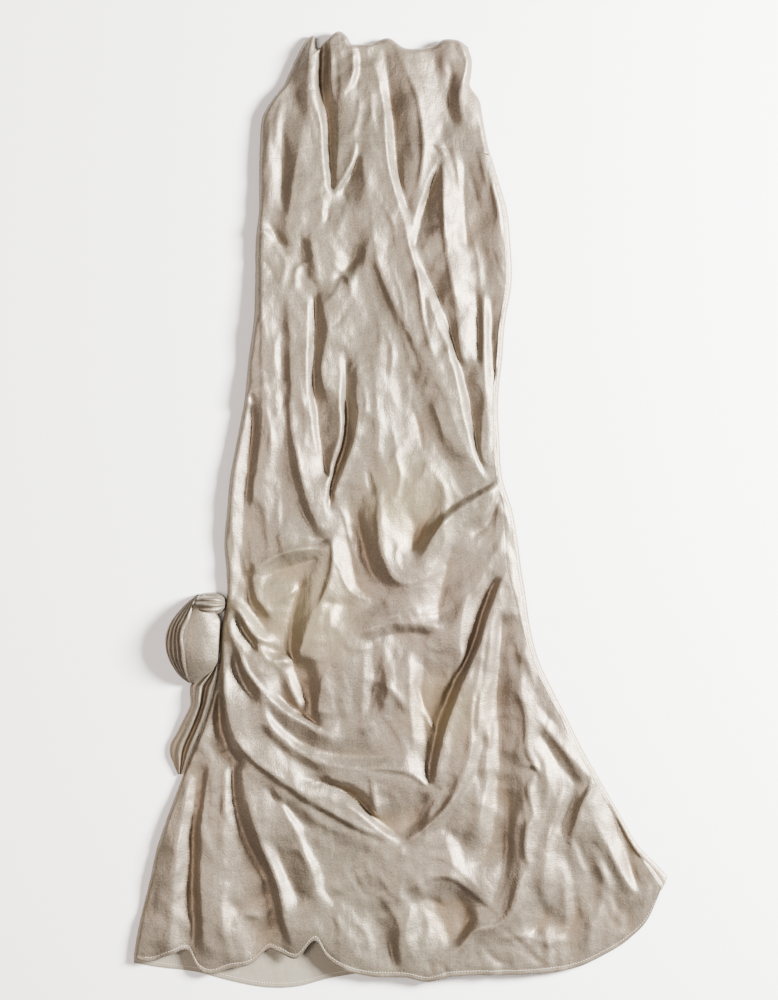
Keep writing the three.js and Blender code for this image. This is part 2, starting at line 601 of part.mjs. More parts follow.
// The rounded heap of a loop's layers: a grid of heights over a flat base
function bowLoop() {
  const profile = loopProfile();
  const grid = LOOP_SECTIONS.map((section) =>
    profile.map(({ across, height }) => {
      const x = lerp(section.outer, section.inner, across);
      return new THREE.Vector3(x, section.y, Math.max(height * section.rise, LOOP_BASE));
    }),
  );
  const heap = closedBody(grid, (p) => new THREE.Vector3(p.x, p.y, 0));
  return subtract(heap, knotGeometry(KNOT_CLEARANCE));
}

// The knot: an oval mound with the grooves of its wraps
function knotGeometry(clearance = 0) {
  const rows = [];
  for (let i = 0; i <= KNOT_RINGS; i += 1) {
    const lift = (Math.PI / 2) * (1 - i / KNOT_RINGS);
    rows.push({ reach: Math.cos(lift), rise: Math.sin(lift) });
  }
  const points = [new THREE.Vector3(KNOT.x, KNOT.y, KNOT.height + clearance)];
  for (const { reach, rise } of rows.slice(1))
    for (let k = 0; k < KNOT_SEGMENTS; k += 1) {
      const turn = (2 * Math.PI * k) / KNOT_SEGMENTS;
      const wrap = 1 - KNOT.groove * (0.5 + 0.5 * Math.cos(KNOT.wraps * 2 * turn)) * reach;
      const x = KNOT.x + (KNOT.across / 2 + clearance) * reach * Math.cos(turn) * wrap;
      const y = KNOT.y + (KNOT.along / 2 + clearance) * reach * Math.sin(turn) * wrap;
      points.push(new THREE.Vector3(x, y, (KNOT.height + clearance) * rise));
    }
  const base = points.push(new THREE.Vector3(KNOT.x, KNOT.y, 0)) - 1;
  const ring = (i, k) => 1 + (i - 1) * KNOT_SEGMENTS + (k % KNOT_SEGMENTS);
  const index = [];
  for (let k = 0; k < KNOT_SEGMENTS; k += 1) {
    index.push(0, ring(1, k), ring(1, k + 1));
    for (let i = 1; i < KNOT_RINGS; i += 1) {
      index.push(ring(i, k), ring(i + 1, k), ring(i + 1, k + 1));
      index.push(ring(i, k), ring(i + 1, k + 1), ring(i, k + 1));
    }
    index.push(base, ring(KNOT_RINGS, k + 1), ring(KNOT_RINGS, k));
  }
  const geometry = new THREE.BufferGeometry().setFromPoints(points);
  geometry.setIndex(index);
  return geometry;
}

// The tail: a folded wall that comes out from under the loop and ends in a point
function bowTail() {
  const grid = TAIL_SECTIONS.map((section) =>
    TAIL_PROFILE.map(({ across, share }) => {
      const x = lerp(section.outer, section.inner, across);
      const z = across === 0 ? 0 : Math.max(share * section.fold, WALL);
      return new THREE.Vector3(x, section.y, z);
    }),
  );
  const tailNormal = (points, i, j) =>
    j === 0 ? new THREE.Vector3(-1, 0, 0) : normalAt(points, i, j).setY(0).normalize();
  return clothWall(grid, tailNormal);
}

// The first body less the second
function subtract(body, tool) {
  const [a, b] = [solid(body), solid(tool)];
  const mesh = a.subtract(b).getMesh();
  const geometry = new THREE.BufferGeometry();
  geometry.setAttribute("position", new THREE.BufferAttribute(mesh.vertProperties, 3));
  geometry.setIndex(new THREE.BufferAttribute(mesh.triVerts, 1));
  return geometry;
}

function solid(geometry) {
  const vertProperties = new Float32Array(geometry.getAttribute("position").array);
  const triVerts = new Uint32Array(geometry.index.array);
  return new wasm.Manifold(new wasm.Mesh({ numProp: 3, vertProperties, triVerts }));
}

function piece(name, geometry, color) {
  geometry.computeVertexNormals();
  const material = new THREE.MeshStandardMaterial({ color, roughness: ROUGHNESS, metalness: 0 });
  const mesh = new THREE.Mesh(geometry, material);
  mesh.name = name;
  return mesh;
}

const dress = new THREE.Group();
dress.add(
  piece("back_panel", backPanel(), SATIN_INSIDE),
  piece("front_panel", frontPanel(), SATIN),
  piece("front_yoke", frontYoke(), SATIN),
  piece("hip_knot", knotGeometry(), SATIN),
  piece("bow_loop", bowLoop(), SATIN),
  piece("bow_tail", bowTail(), SATIN),
);

// The origin is the middle of the dress's box, on the surface it lies on
const box = new THREE.Box3().setFromObject(dress);
const middle = box.getCenter(new THREE.Vector3());
dress.position.set(-middle.x, -middle.y, -box.min.z);

export default dress;
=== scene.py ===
"""A long satin halter dress laid out flat on a pale floor, seen from straight above.

The cloth's face is a field of heights, in millimetres, relaxed between the lines of its folds, and
every panel is a thin shell that follows that field. Lengths are millimetres. Only the meshes,
once made, and the places of lamps, of the camera and of a finish's spots of painted warm bounce
light are in metres.
"""

import logging
import math
from dataclasses import dataclass, field
from enum import Enum
from typing import Callable, Sequence

import bpy
import numpy as np
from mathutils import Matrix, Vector

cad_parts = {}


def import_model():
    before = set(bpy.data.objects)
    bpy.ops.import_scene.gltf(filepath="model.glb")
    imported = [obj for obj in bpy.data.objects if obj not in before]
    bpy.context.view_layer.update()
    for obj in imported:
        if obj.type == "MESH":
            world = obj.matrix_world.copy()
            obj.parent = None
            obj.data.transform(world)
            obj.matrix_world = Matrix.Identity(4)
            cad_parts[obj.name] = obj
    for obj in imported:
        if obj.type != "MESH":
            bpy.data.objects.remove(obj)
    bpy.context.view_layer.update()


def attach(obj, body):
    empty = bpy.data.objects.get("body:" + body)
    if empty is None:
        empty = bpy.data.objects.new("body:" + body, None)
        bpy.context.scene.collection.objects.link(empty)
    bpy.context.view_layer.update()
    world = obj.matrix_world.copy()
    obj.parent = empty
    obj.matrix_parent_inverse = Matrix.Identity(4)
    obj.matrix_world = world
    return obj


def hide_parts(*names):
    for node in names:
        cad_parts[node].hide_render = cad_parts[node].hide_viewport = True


log = logging.getLogger("halter_dress")

Array = np.ndarray
Row = tuple[float, ...]
Point = tuple[float, float]
Station = tuple[float, float, float]
Color = tuple[float, float, float]
Part = tuple[slice, slice]

MM = 0.001

# The two sides of the dress as it lies: y, the left side, the right side, and the height of the
# right edge
SIDES: tuple[Row, ...] = (
    (716, -138, 99, 12), (708, -140, 99, 12), (696, -147, 101, 12), (675, -158, 107, 12),
    (652, -168, 106, 12), (637, -175, 104, 12), (615, -192, 118, 13), (590, -207, 123, 14),
    (547, -211, 131, 14), (495, -212, 146, 14), (450, -212, 159, 14), (405, -217, 164, 14),
    (337, -218, 166, 14), (285, -220, 157, 14), (225, -228, 152, 14), (165, -234, 146, 14),
    (105, -245, 148, 14), (45, -256, 153, 14), (0, -260, 167, 14), (-52, -264, 176, 14),
    (-90, -261, 181, 14), (-127, -260, 187, 14), (-180, -269, 195, 14), (-225, -271, 207, 14),
    (-270, -280, 228, 13), (-315, -293, 251, 12), (-352, -308, 269, 12), (-403, -328, 298, 11),
    (-457, -348, 329, 10), (-510, -366, 359, 10), (-547, -374, 388, 10), (-565, -378, 399, 10),
    (-622, -392, 399, 10), (-675, -400, 399, 10), (-716, -400, 399, 10),
)
# The neck edge: share of the width from the left corner, and y
NECK: tuple[Row, ...] = (
    (0, 706), (0.04, 710), (0.08, 696), (0.105, 689), (0.14, 706), (0.19, 715.5), (0.25, 708),
    (0.3, 696), (0.4, 697), (0.51, 706), (0.62, 691), (0.78, 694), (0.86, 704), (0.94, 703),
    (1, 694),
)
# The seam between yoke and front: x and y
CROSS_SEAM: tuple[Row, ...] = (
    (-212, 522), (-178, 526), (-116, 545), (-20, 548), (60, 541), (136, 530),
)
# The strip of the back that shows at the right: y and its width
SIDE_STRIP: tuple[Row, ...] = (
    (540, 10), (60, 10), (20, 12), (-90, 21), (-157, 15), (-220, 11), (-310, 11), (-700, 10),
)
# Hem of the front, lifted in waves at the left: x and y
FRONT_HEM: tuple[Row, ...] = (
    (-400, -670), (-376, -675), (-345, -664), (-318, -658), (-300, -686), (-284, -693),
    (-256, -685), (-214, -673), (-198, -656), (-181, -660), (-151, -668), (-127, -641),
    (-108, -666), (-76, -686), (-38, -696), (14, -697), (46, -704), (76, -696), (224, -691),
    (269, -684), (314, -664), (352, -640), (382, -607), (399, -568),
)
# Hem of the back: x and y
BACK_HEM: tuple[Row, ...] = (
    (-400, -679), (-361, -685), (-301, -693), (-263, -703), (-193, -715.5), (-151, -714),
    (-106, -702), (-40, -692), (150, -686), (262, -676), (345, -636), (378, -600), (399, -568),
)


@dataclass(frozen=True)
class Fold:
    """A ridge or a valley that the cloth is stretched over.

    The path runs through stations of x, y and the height of the cloth there.
    """

    name: str
    path: tuple[Station, ...]


@dataclass(frozen=True)
class Edge:
    """A crisp edge where one layer of the folded cloth lies over the next.

    The step is how much higher the side at the path's left hand lies, and the two widths say how
    far the step spreads to each side. The path runs through points of x and y.
    """

    step: float
    left: float
    right: float
    path: tuple[Point, ...]


@dataclass(frozen=True)
class Crease:
    """A soft ridge or trough pressed into the face after it has been stretched.

    The height is negative for a trough, and the two widths say how far it spreads to the left and
    to the right of its line. The path runs through points of x and y.
    """

    height: float
    left: float
    right: float
    path: tuple[Point, ...]


@dataclass(frozen=True)
class Crumple:
    """One field of light rumples: its creases' turn, their spacing both ways and their height."""

    seed: int
    turn: float
    across: float
    along: float
    height: float


FOLD_ROWS: tuple[tuple[str, tuple[Station, ...]], ...] = (
    ("neck lobe, left", ((-134, 705, 17), (-136, 675, 20), (-137, 645, 21), (-137, 608, 19),
        (-131, 570, 16), (-127, 540, 15))),
    ("hollow beside the left lobe", ((-163, 636, 12), (-154, 608, 10), (-146, 582, 11))),
    ("armhole ridge", ((-194, 603, 15), (-197, 555, 17), (-197, 495, 18), (-199, 442, 17))),
    ("armhole valley", ((-176, 573, 11), (-176, 540, 10), (-175, 502, 9), (-176, 465, 10),
        (-172, 441, 12))),
    ("ridge beside the armhole", ((-145, 578, 17), (-151, 540, 19), (-155, 518, 20),
        (-161, 488, 20), (-164, 458, 19), (-170, 417, 17))),
    ("left edge of the neck valley", ((-124, 693, 13), (-125, 660, 14), (-125, 630, 14),
        (-121, 600, 14), (-116, 570, 14), (-113, 510, 15), (-109, 480, 16), (-110, 465, 14))),
    ("neck valley, left", ((-116, 696, 4), (-118, 652, 4), (-116, 615, 5), (-109, 592, 6),
        (-106, 555, 6), (-104, 510, 6), (-103, 470, 8))),
    ("shoulder of the tall lobe", ((-107, 702, 16), (-104, 675, 20), (-104, 645, 21),
        (-103, 622, 20), (-98, 606, 18))),
    ("edge below the tall lobe", ((-94, 597, 16), (-94, 570, 15), (-95, 525, 16),
        (-98, 476, 13))),
    ("neck lobe, tall", ((-94, 716, 21), (-91, 690, 26), (-91, 660, 27), (-89, 630, 25),
        (-92, 606, 20))),
    ("edge of the tall lobe", ((-74, 699, 18), (-70, 675, 20), (-68, 654, 20), (-73, 633, 18),
        (-83, 615, 17))),
    ("drop beside the tall lobe", ((-64, 693, 9), (-61, 668, 10), (-64, 645, 11),
        (-71, 622, 13))),
    ("leaf fold", ((-86, 582, 15), (-76, 568, 17), (-67, 548, 18), (-68, 525, 19),
        (-76, 507, 19), (-86, 490, 17), (-97, 472, 14))),
    ("floor under the leaf", ((-64, 537, 9), (-68, 514, 8), (-77, 494, 7), (-86, 476, 8),
        (-76, 456, 9))),
    ("long ridge from the neck", ((-64, 558, 15), (-58, 532, 18), (-53, 502, 20),
        (-49, 472, 20), (-44, 447, 20), (-41, 417, 20), (-38, 390, 20), (-32, 363, 20),
        (-23, 338, 20), (-11, 312, 20), (2, 285, 20), (17, 258, 20), (31, 232, 20), (46, 207, 21),
        (59, 183, 21), (70, 162, 21), (77, 138, 21), (86, 112, 20), (97, 90, 19), (109, 68, 17),
        (121, 46, 13))),
    ("edge of the wide valley", ((-43, 672, 14), (-34, 645, 17), (-26, 615, 19), (-22, 585, 20),
        (-20, 548, 20), (-17, 518, 20), (-11, 488, 20), (-5, 465, 19), (2, 442, 18), (10, 416, 18),
        (16, 387, 18), (22, 363, 17))),
    ("wide neck valley", ((-25, 693, 10), (-20, 660, 9), (-16, 622, 8), (-11, 585, 7),
        (-8, 548, 7), (-5, 518, 7), (1, 488, 8), (8, 460, 9), (16, 442, 9))),
    ("soft ridge in the wide valley", ((8, 558, 12), (5, 525, 14), (4, 495, 14), (4, 468, 12))),
    ("bright neck ridge", ((-11, 702, 15), (-1, 675, 17), (10, 650, 20), (19, 627, 22),
        (25, 600, 23), (31, 570, 23), (32, 540, 23), (31, 514, 22), (28, 488, 20), (23, 468, 18),
        (16, 450, 15))),
    ("foot of the bright ridge", ((50, 682, 9), (55, 652, 9), (58, 615, 10), (62, 582, 11),
        (61, 549, 11))),
    ("strip edge to the bust", ((58, 528, 17), (50, 510, 18), (41, 492, 17), (35, 472, 16),
        (26, 453, 15), (20, 432, 14), (17, 405, 14), (17, 381, 12))),
    ("valley to the bust", ((55, 507, 9), (46, 484, 7), (40, 462, 7), (31, 435, 7),
        (25, 408, 8), (20, 387, 9))),
    ("facet at the bust", ((38, 408, 14), (44, 381, 14), (50, 351, 13))),
    ("ridge below the puckers", ((59, 528, 17), (61, 502, 21), (61, 465, 23), (62, 428, 23),
        (67, 390, 23), (71, 363, 23), (77, 330, 22), (83, 300, 21), (86, 270, 20), (89, 240, 18),
        (95, 216, 16))),
    ("small lobe ridge", ((64, 705, 15), (65, 675, 17), (68, 645, 14))),
    ("neck lobe, right", ((83, 705, 18), (92, 690, 20), (100, 672, 19), (95, 645, 19),
        (88, 618, 21), (91, 592, 20), (98, 567, 17))),
    ("right neck valley", ((77, 666, 10), (74, 630, 8), (74, 600, 8), (82, 574, 10))),
    ("right side valley", ((94, 525, 11), (95, 495, 9), (95, 458, 8), (97, 423, 8),
        (100, 393, 9), (106, 357, 11))),
    ("right side ridge", ((116, 597, 15), (122, 562, 17), (128, 528, 18), (133, 495, 19),
        (140, 465, 19), (146, 435, 18), (151, 402, 17))),
    ("lower side valley", ((125, 390, 9), (127, 360, 8), (130, 333, 9))),
    ("lower side ridge", ((145, 387, 15), (148, 357, 16), (149, 330, 14))),
    ("narrow side ridge", ((125, 330, 13), (125, 300, 18), (125, 255, 19), (125, 210, 19),
        (127, 172, 18), (130, 120, 18), (131, 82, 15))),
    ("left of the narrow ridge", ((113, 336, 9), (115, 300, 9), (116, 255, 9), (116, 216, 10))),
    ("right of the narrow ridge", ((137, 322, 8), (137, 285, 7), (137, 248, 7), (139, 213, 8),
        (140, 172, 10))),
    ("second diagonal ridge", ((20, 372, 15), (26, 351, 18), (34, 328, 20), (43, 308, 21),
        (53, 282, 22), (64, 254, 22), (74, 224, 22), (82, 198, 21), (88, 172, 21), (92, 147, 20),
        (100, 117, 19), (109, 86, 17), (119, 60, 15), (130, 40, 12))),
    ("dark band beside the diagonals", ((29, 372, 9), (44, 342, 9), (58, 315, 8), (68, 285, 7),
        (77, 255, 7), (86, 225, 6), (95, 195, 6), (103, 165, 6), (107, 135, 6), (112, 105, 6),
        (118, 76, 7), (127, 52, 8))),
    ("ridge right of the dark band", ((104, 201, 16), (118, 188, 17), (124, 165, 18),
        (122, 128, 18), (119, 98, 17), (121, 78, 15), (128, 62, 13))),
    ("foot of the long ridge", ((-44, 372, 13), (-35, 345, 12), (-25, 320, 12), (-14, 294, 12),
        (-7, 270, 12), (1, 246, 12), (8, 222, 12), (17, 198, 10), (26, 172, 10), (32, 142, 8),
        (41, 117, 8), (53, 93, 8), (68, 74, 8), (85, 54, 10), (101, 34, 10))),
    ("edge crease, left", ((-220, 248, 11), (-223, 218, 9), (-223, 165, 8), (-221, 120, 8),
        (-224, 90, 8), (-227, 52, 9), (-233, 15, 9), (-236, -18, 8), (-239, -57, 8), (-236, -90, 8),
        (-229, -120, 8))),
    ("ridge inside the left edge", ((-205, 428, 16), (-208, 375, 17), (-208, 315, 17),
        (-206, 240, 17), (-206, 165, 17), (-208, 120, 17), (-214, 60, 16), (-220, 8, 14))),
    ("left rim", ((-230, 195, 13), (-236, 150, 14), (-244, 105, 15), (-250, 60, 15),
        (-253, 15, 16), (-251, -30, 16), (-247, -72, 13))),
    ("short crease", ((-199, 434, 12), (-187, 408, 9), (-176, 393, 9), (-169, 380, 11))),
    ("bright edge left", ((-155, 458, 19), (-148, 441, 20), (-151, 424, 19), (-163, 408, 18),
        (-172, 394, 16))),
    ("dark valley left", ((-148, 411, 8), (-145, 382, 7), (-140, 360, 7), (-136, 344, 9))),
    ("ridge right of the dark valley", ((-134, 438, 17), (-133, 405, 18), (-130, 378, 18),
        (-125, 357, 17), (-122, 336, 15))),
    ("fold edge under the neck valley", ((-109, 462, 15), (-116, 444, 17), (-119, 420, 15))),
    ("nook right of the fold edge", ((-107, 452, 9), (-112, 429, 9))),
    ("crease to the valley", ((-157, 363, 13), (-149, 345, 10), (-142, 326, 9))),
    ("valley under the crease", ((-128, 326, 8), (-128, 300, 5), (-128, 270, 5), (-130, 240, 5),
        (-131, 210, 5), (-130, 180, 5), (-125, 150, 5), (-122, 120, 6), (-118, 90, 7),
        (-110, 60, 8), (-104, 40, 10))),
    ("left lip of the valley", ((-139, 315, 16), (-137, 270, 17), (-139, 240, 18),
        (-140, 210, 18), (-139, 180, 18), (-134, 150, 18), (-130, 112, 17), (-122, 78, 15))),
    ("right bank of the valley", ((-121, 327, 14), (-116, 303, 16), (-110, 282, 18),
        (-107, 266, 19), (-113, 240, 18), (-118, 210, 18), (-113, 180, 18), (-110, 162, 16))),
    ("bright streak", ((-104, 306, 18), (-94, 318, 19), (-82, 328, 15))),
    ("diagonal hollow", ((-59, 396, 11), (-71, 374, 8), (-85, 354, 8), (-98, 338, 9))),
    ("diagonal crest", ((-56, 372, 15), (-71, 348, 17), (-85, 330, 17))),
    ("long crease, left", ((-179, 318, 12), (-176, 270, 12), (-175, 225, 11), (-172, 180, 11),
        (-170, 135, 11), (-170, 105, 10), (-167, 75, 10), (-161, 45, 10), (-152, 15, 10),
        (-142, -8, 10), (-128, -27, 11))),
    ("long crest, left", ((-170, 322, 15), (-166, 285, 17), (-164, 240, 18), (-163, 195, 18),
        (-163, 150, 18), (-161, 117, 18), (-157, 94, 19), (-152, 72, 20), (-146, 45, 20),
        (-139, 20, 20), (-131, -3, 20), (-122, -22, 19), (-112, -36, 16))),
    ("golden valley", ((-82, 240, 9), (-82, 202, 7), (-82, 172, 5), (-80, 142, 3),
        (-82, 117, 2), (-86, 94, 2), (-94, 72, 2), (-100, 48, 2), (-104, 22, 3), (-107, -3, 5))),
    ("edge over the golden valley", ((-92, 240, 13), (-89, 210, 15), (-89, 180, 17),
        (-91, 158, 19), (-88, 135, 21), (-88, 116, 21), (-92, 94, 20), (-100, 72, 19),
        (-106, 48, 18), (-110, 27, 17), (-112, 8, 16), (-110, -18, 17))),
    ("bank of the golden valley", ((-64, 237, 14), (-64, 202, 17), (-65, 172, 19),
        (-64, 147, 19), (-67, 120, 19), (-73, 94, 18), (-80, 74, 17), (-88, 52, 16), (-97, 32, 15),
        (-103, 10, 14))),
    ("bright ridge, middle", ((-44, 248, 14), (-40, 210, 17), (-37, 165, 18), (-38, 120, 17),
        (-41, 82, 15))),
    ("middle hollow", ((-7, 195, 13), (-1, 150, 11), (5, 105, 11))),
    ("big dark valley", ((-74, 39, 12), (-76, 0, 9), (-74, -45, 7), (-71, -82, 7),
        (-64, -112, 7), (-46, -132, 8), (-22, -141, 9))),
    ("crest of the swag", ((-43, 63, 15), (-35, 30, 18), (-29, 0, 20), (-25, -30, 21),
        (-20, -60, 21), (-10, -81, 21), (5, -93, 20), (22, -93, 19), (38, -84, 19), (50, -72, 18))),
    ("hollow of the swag", ((62, 18, 8), (47, -3, 6), (32, -24, 5), (20, -45, 4),
        (16, -69, 6))),
    ("bright bulge over the swag", ((41, 74, 16), (32, 52, 17), (17, 33, 16), (5, 12, 14),
        (-2, -18, 13))),
    ("first tuck", ((151, 45, 13), (142, 39, 17), (133, 32, 20), (119, 24, 21), (104, 15, 21),
        (89, 6, 21), (74, -6, 21), (61, -21, 21), (50, -39, 21), (41, -57, 21), (35, -72, 19))),
    ("pocket behind the first tuck", ((146, 48, 11), (131, 38, 9), (116, 28, 9), (100, 20, 9),
        (83, 10, 9), (67, -3, 9), (53, -20, 9), (41, -38, 8))),
    ("fan ridge", ((146, 36, 14), (139, 20, 18), (130, 3, 19), (118, -12, 18), (104, -24, 15))),
    ("fan valley", ((149, 33, 9), (143, 10, 8), (136, -10, 7), (125, -27, 7), (104, -38, 8))),
    ("under the first tuck", ((79, -56, 8), (71, -82, 6), (65, -112, 5), (59, -142, 5),
        (55, -171, 6))),
    ("bank under the first tuck", ((149, 15, 13), (151, -30, 14), (145, -57, 16),
        (134, -75, 16), (124, -96, 17), (112, -117, 18), (97, -135, 18), (91, -165, 18),
        (89, -195, 18), (91, -222, 16), (82, -243, 13))),
    ("arc under the swag", ((-28, -102, 17), (-1, -106, 15), (23, -102, 15), (44, -90, 15))),
    ("below the arc", ((-8, -120, 18), (17, -120, 19), (41, -111, 18))),
    ("thigh line", ((-110, -183, 15), (-97, -176, 18), (-82, -176, 15))),
    ("thigh ridge", ((-73, -196, 15), (-58, -184, 18), (-38, -176, 20), (-16, -171, 21),
        (14, -171, 21), (44, -172, 19), (68, -176, 15))),
    ("below the thigh ridge", ((-52, -202, 12), (-31, -190, 10), (-8, -184, 9), (17, -183, 9),
        (47, -184, 9))),
    ("thigh streak", ((-118, -135, 12), (-83, -144, 10), (-52, -148, 9), (-22, -148, 11))),
    ("above the thigh streak", ((-83, -123, 14), (-53, -132, 12), (-23, -135, 9))),
    ("deep fold beside the second tuck", ((37, -213, 11), (32, -255, 8), (34, -285, 7),
        (37, -322, 7), (41, -357, 7), (44, -384, 8))),
    ("fold crest left of the deep fold", ((14, -218, 15), (13, -270, 17), (16, -315, 17),
        (20, -360, 15))),
    ("second tuck", ((161, -90, 13), (151, -104, 19), (142, -122, 22), (136, -141, 24),
        (128, -160, 25), (124, -182, 26), (118, -200, 26), (110, -220, 26), (104, -237, 26),
        (95, -256, 26), (86, -276, 26), (79, -297, 26), (71, -318, 25), (64, -342, 24),
        (58, -366, 23), (53, -387, 22), (49, -410, 19))),
    ("gap behind the second tuck", ((146, -99, 7), (136, -118, 6), (130, -138, 6),
        (122, -159, 6), (116, -182, 5), (110, -201, 5), (101, -219, 5), (92, -236, 4),
        (82, -255, 4), (73, -276, 4), (64, -297, 4), (56, -318, 4), (52, -342, 4), (47, -363, 4),
        (44, -387, 4), (41, -412, 6))),
    ("rim of the second tuck", ((146, -126, 20), (136, -172, 22), (127, -225, 24),
        (119, -270, 25), (113, -300, 26), (110, -330, 26), (107, -357, 26), (101, -380, 26),
        (89, -402, 25), (79, -423, 24), (67, -444, 23), (52, -462, 22), (37, -476, 20),
        (22, -486, 18), (5, -496, 15))),
    ("strip of the second tuck", ((101, -285, 21), (92, -322, 20), (83, -360, 20),
        (74, -393, 20), (62, -420, 19))),
    ("edge of the strip", ((53, -420, 18), (46, -442, 19), (37, -460, 18), (25, -478, 16))),
    ("hollow left of the strip", ((40, -428, 7), (29, -447, 6), (20, -465, 6), (5, -484, 7))),
    ("drop below the rim", ((128, -285, 14), (122, -345, 13), (113, -387, 13), (98, -420, 13),
        (83, -447, 13), (62, -471, 13), (37, -489, 13))),
    ("skirt valley, right", ((149, -153, 5), (149, -202, 5), (146, -255, 5), (146, -292, 5),
        (148, -330, 5), (148, -375, 5), (145, -420, 5), (142, -458, 5), (137, -495, 5),
        (127, -519, 5), (104, -534, 5))),
    ("soft ridge left of the valley", ((131, -330, 15), (128, -390, 16), (122, -450, 16),
        (116, -495, 14))),
    ("skirt ridge, right", ((172, -188, 16), (178, -232, 19), (176, -270, 21), (184, -292, 22),
        (187, -318, 22), (185, -345, 22), (191, -368, 21), (199, -386, 19), (187, -406, 18),
        (191, -432, 21), (196, -453, 21), (185, -471, 22), (184, -501, 23), (188, -525, 23),
        (176, -544, 22), (167, -562, 21), (166, -580, 21), (160, -597, 20), (148, -609, 19),
        (131, -615, 18), (113, -618, 18), (101, -633, 17), (89, -651, 17), (77, -672, 14))),
    ("shoulder ridge", ((5, -519, 15), (29, -512, 16), (59, -518, 17), (82, -532, 17),
        (101, -550, 17), (119, -570, 17), (140, -591, 17))),
    ("upper rim of the low hollow", ((14, -574, 16), (31, -560, 18), (47, -550, 19),
        (68, -546, 20), (86, -554, 20))),
    ("low hollow", ((11, -592, 10), (37, -582, 7), (62, -592, 5), (83, -604, 4), (101, -610, 4),
        (92, -630, 4), (77, -652, 5))),
    ("seam ridge to the notch", ((188, -290, 15), (214, -324, 16), (236, -350, 16),
        (259, -375, 16), (281, -396, 16), (293, -392, 13))),
    ("valley below the notch", ((202, -326, 11), (221, -354, 9), (239, -382, 9), (259, -406, 9),
        (256, -435, 9), (244, -462, 9), (239, -483, 9))),
    ("ridge left of that valley", ((197, -342, 17), (214, -381, 18), (226, -420, 18),
        (233, -444, 17))),
    ("ridge from the notch", ((296, -387, 13), (284, -411, 18), (274, -430, 19),
        (265, -453, 20), (256, -477, 18), (248, -498, 15))),
    ("long hem ridge", ((275, -434, 17), (287, -460, 17), (301, -488, 17), (314, -513, 17),
        (329, -540, 17), (344, -562, 17), (358, -580, 14))),
    ("band right of the hem ridge", ((302, -430, 13), (316, -456, 10), (326, -486, 9),
        (338, -518, 9), (350, -548, 9), (359, -568, 9))),
    ("right rim of the skirt", ((317, -428, 12), (334, -462, 14), (349, -492, 14),
        (365, -522, 14), (383, -552, 13))),
    ("hollow left of the hem ridge", ((284, -492, 13), (304, -525, 11), (320, -555, 11),
        (337, -584, 11))),
    ("skirt hollow", ((244, -507, 13), (254, -540, 10), (262, -578, 8), (260, -615, 8),
        (247, -645, 9))),
    ("skirt dent", ((226, -586, 14), (214, -608, 9), (199, -630, 9), (185, -639, 12))),
    ("inner skirt ridge", ((217, -480, 15), (221, -525, 18), (224, -562, 17))),
    ("pocket edge, left", ((-220, -99, 12), (-208, -84, 16), (-188, -75, 18), (-166, -66, 19),
        (-143, -60, 19), (-121, -58, 19), (-109, -54, 17))),
    ("below the pocket edge", ((-208, -105, 9), (-187, -92, 8), (-164, -82, 7), (-142, -76, 7),
        (-121, -74, 7))),
    ("wedge valley", ((-151, -34, 12), (-133, -42, 9), (-118, -46, 7), (-107, -46, 9))),
    ("pocket crest", ((-104, -39, 17), (-103, -60, 19), (-107, -82, 21), (-112, -105, 22),
        (-119, -128, 22), (-130, -147, 22), (-137, -168, 22), (-143, -189, 21), (-149, -207, 19),
        (-155, -225, 16))),
    ("pocket valley", ((-143, -102, 7), (-154, -120, 5), (-160, -142, 3), (-163, -165, 3),
        (-164, -195, 3), (-163, -218, 3), (-157, -240, 3), (-149, -262, 3), (-140, -290, 4))),
    ("bright facet edge", ((-220, -105, 14), (-215, -128, 16), (-206, -142, 16),
        (-196, -154, 14), (-188, -166, 12))),
    ("hollow beside the facet", ((-230, -93, 7), (-227, -120, 6), (-223, -141, 5),
        (-208, -152, 5), (-199, -165, 6))),
    ("facet of the pocket", ((-187, -146, 11), (-175, -132, 14), (-160, -123, 16),
        (-145, -112, 16))),
    ("first gather from the knot", ((-259, -136, 15), (-247, -141, 19), (-236, -152, 22),
        (-229, -168, 23), (-218, -183, 23), (-206, -192, 22), (-194, -198, 18))),
    ("above the first gather", ((-241, -130, 7), (-226, -146, 5), (-215, -160, 5),
        (-202, -178, 6), (-185, -189, 6))),
    ("lower lip of the gather", ((-217, -196, 15), (-208, -213, 19), (-193, -224, 20),
        (-172, -225, 19), (-157, -231, 14))),
    ("nook over the lower lip", ((-203, -204, 9), (-188, -213, 8), (-170, -218, 7))),
    ("valley under the first gather", ((-247, -154, 8), (-235, -178, 6), (-223, -196, 6),
        (-215, -213, 7))),
    ("main gather crest", ((-259, -159, 15), (-251, -183, 20), (-239, -204, 21),
        (-232, -231, 22), (-217, -254, 23), (-202, -270, 23), (-187, -285, 23), (-169, -300, 23),
        (-151, -310, 22), (-130, -322, 21), (-109, -336, 20), (-97, -348, 17))),
    ("gap above the main gather", ((-191, -268, 10), (-178, -282, 5), (-161, -297, 3),
        (-145, -309, 3), (-127, -321, 3), (-112, -328, 6))),
    ("valley left of the gather", ((-247, -202, 11), (-244, -225, 8), (-238, -248, 8),
        (-229, -267, 9), (-212, -286, 11))),
    ("rib in the pocket", ((-170, -237, 13), (-164, -262, 16), (-155, -285, 16),
        (-148, -302, 13))),
    ("groove in the pocket", ((-182, -236, 9), (-179, -261, 7), (-170, -282, 6))),
    ("thigh bulge edge", ((-104, -222, 16), (-113, -243, 18), (-121, -270, 19),
        (-124, -292, 19), (-124, -314, 17))),
    ("nook beside the bulge", ((-137, -237, 8), (-137, -262, 6), (-134, -292, 5),
        (-131, -310, 5))),
    ("thigh bulge", ((-82, -225, 20), (-85, -262, 21), (-94, -297, 20))),
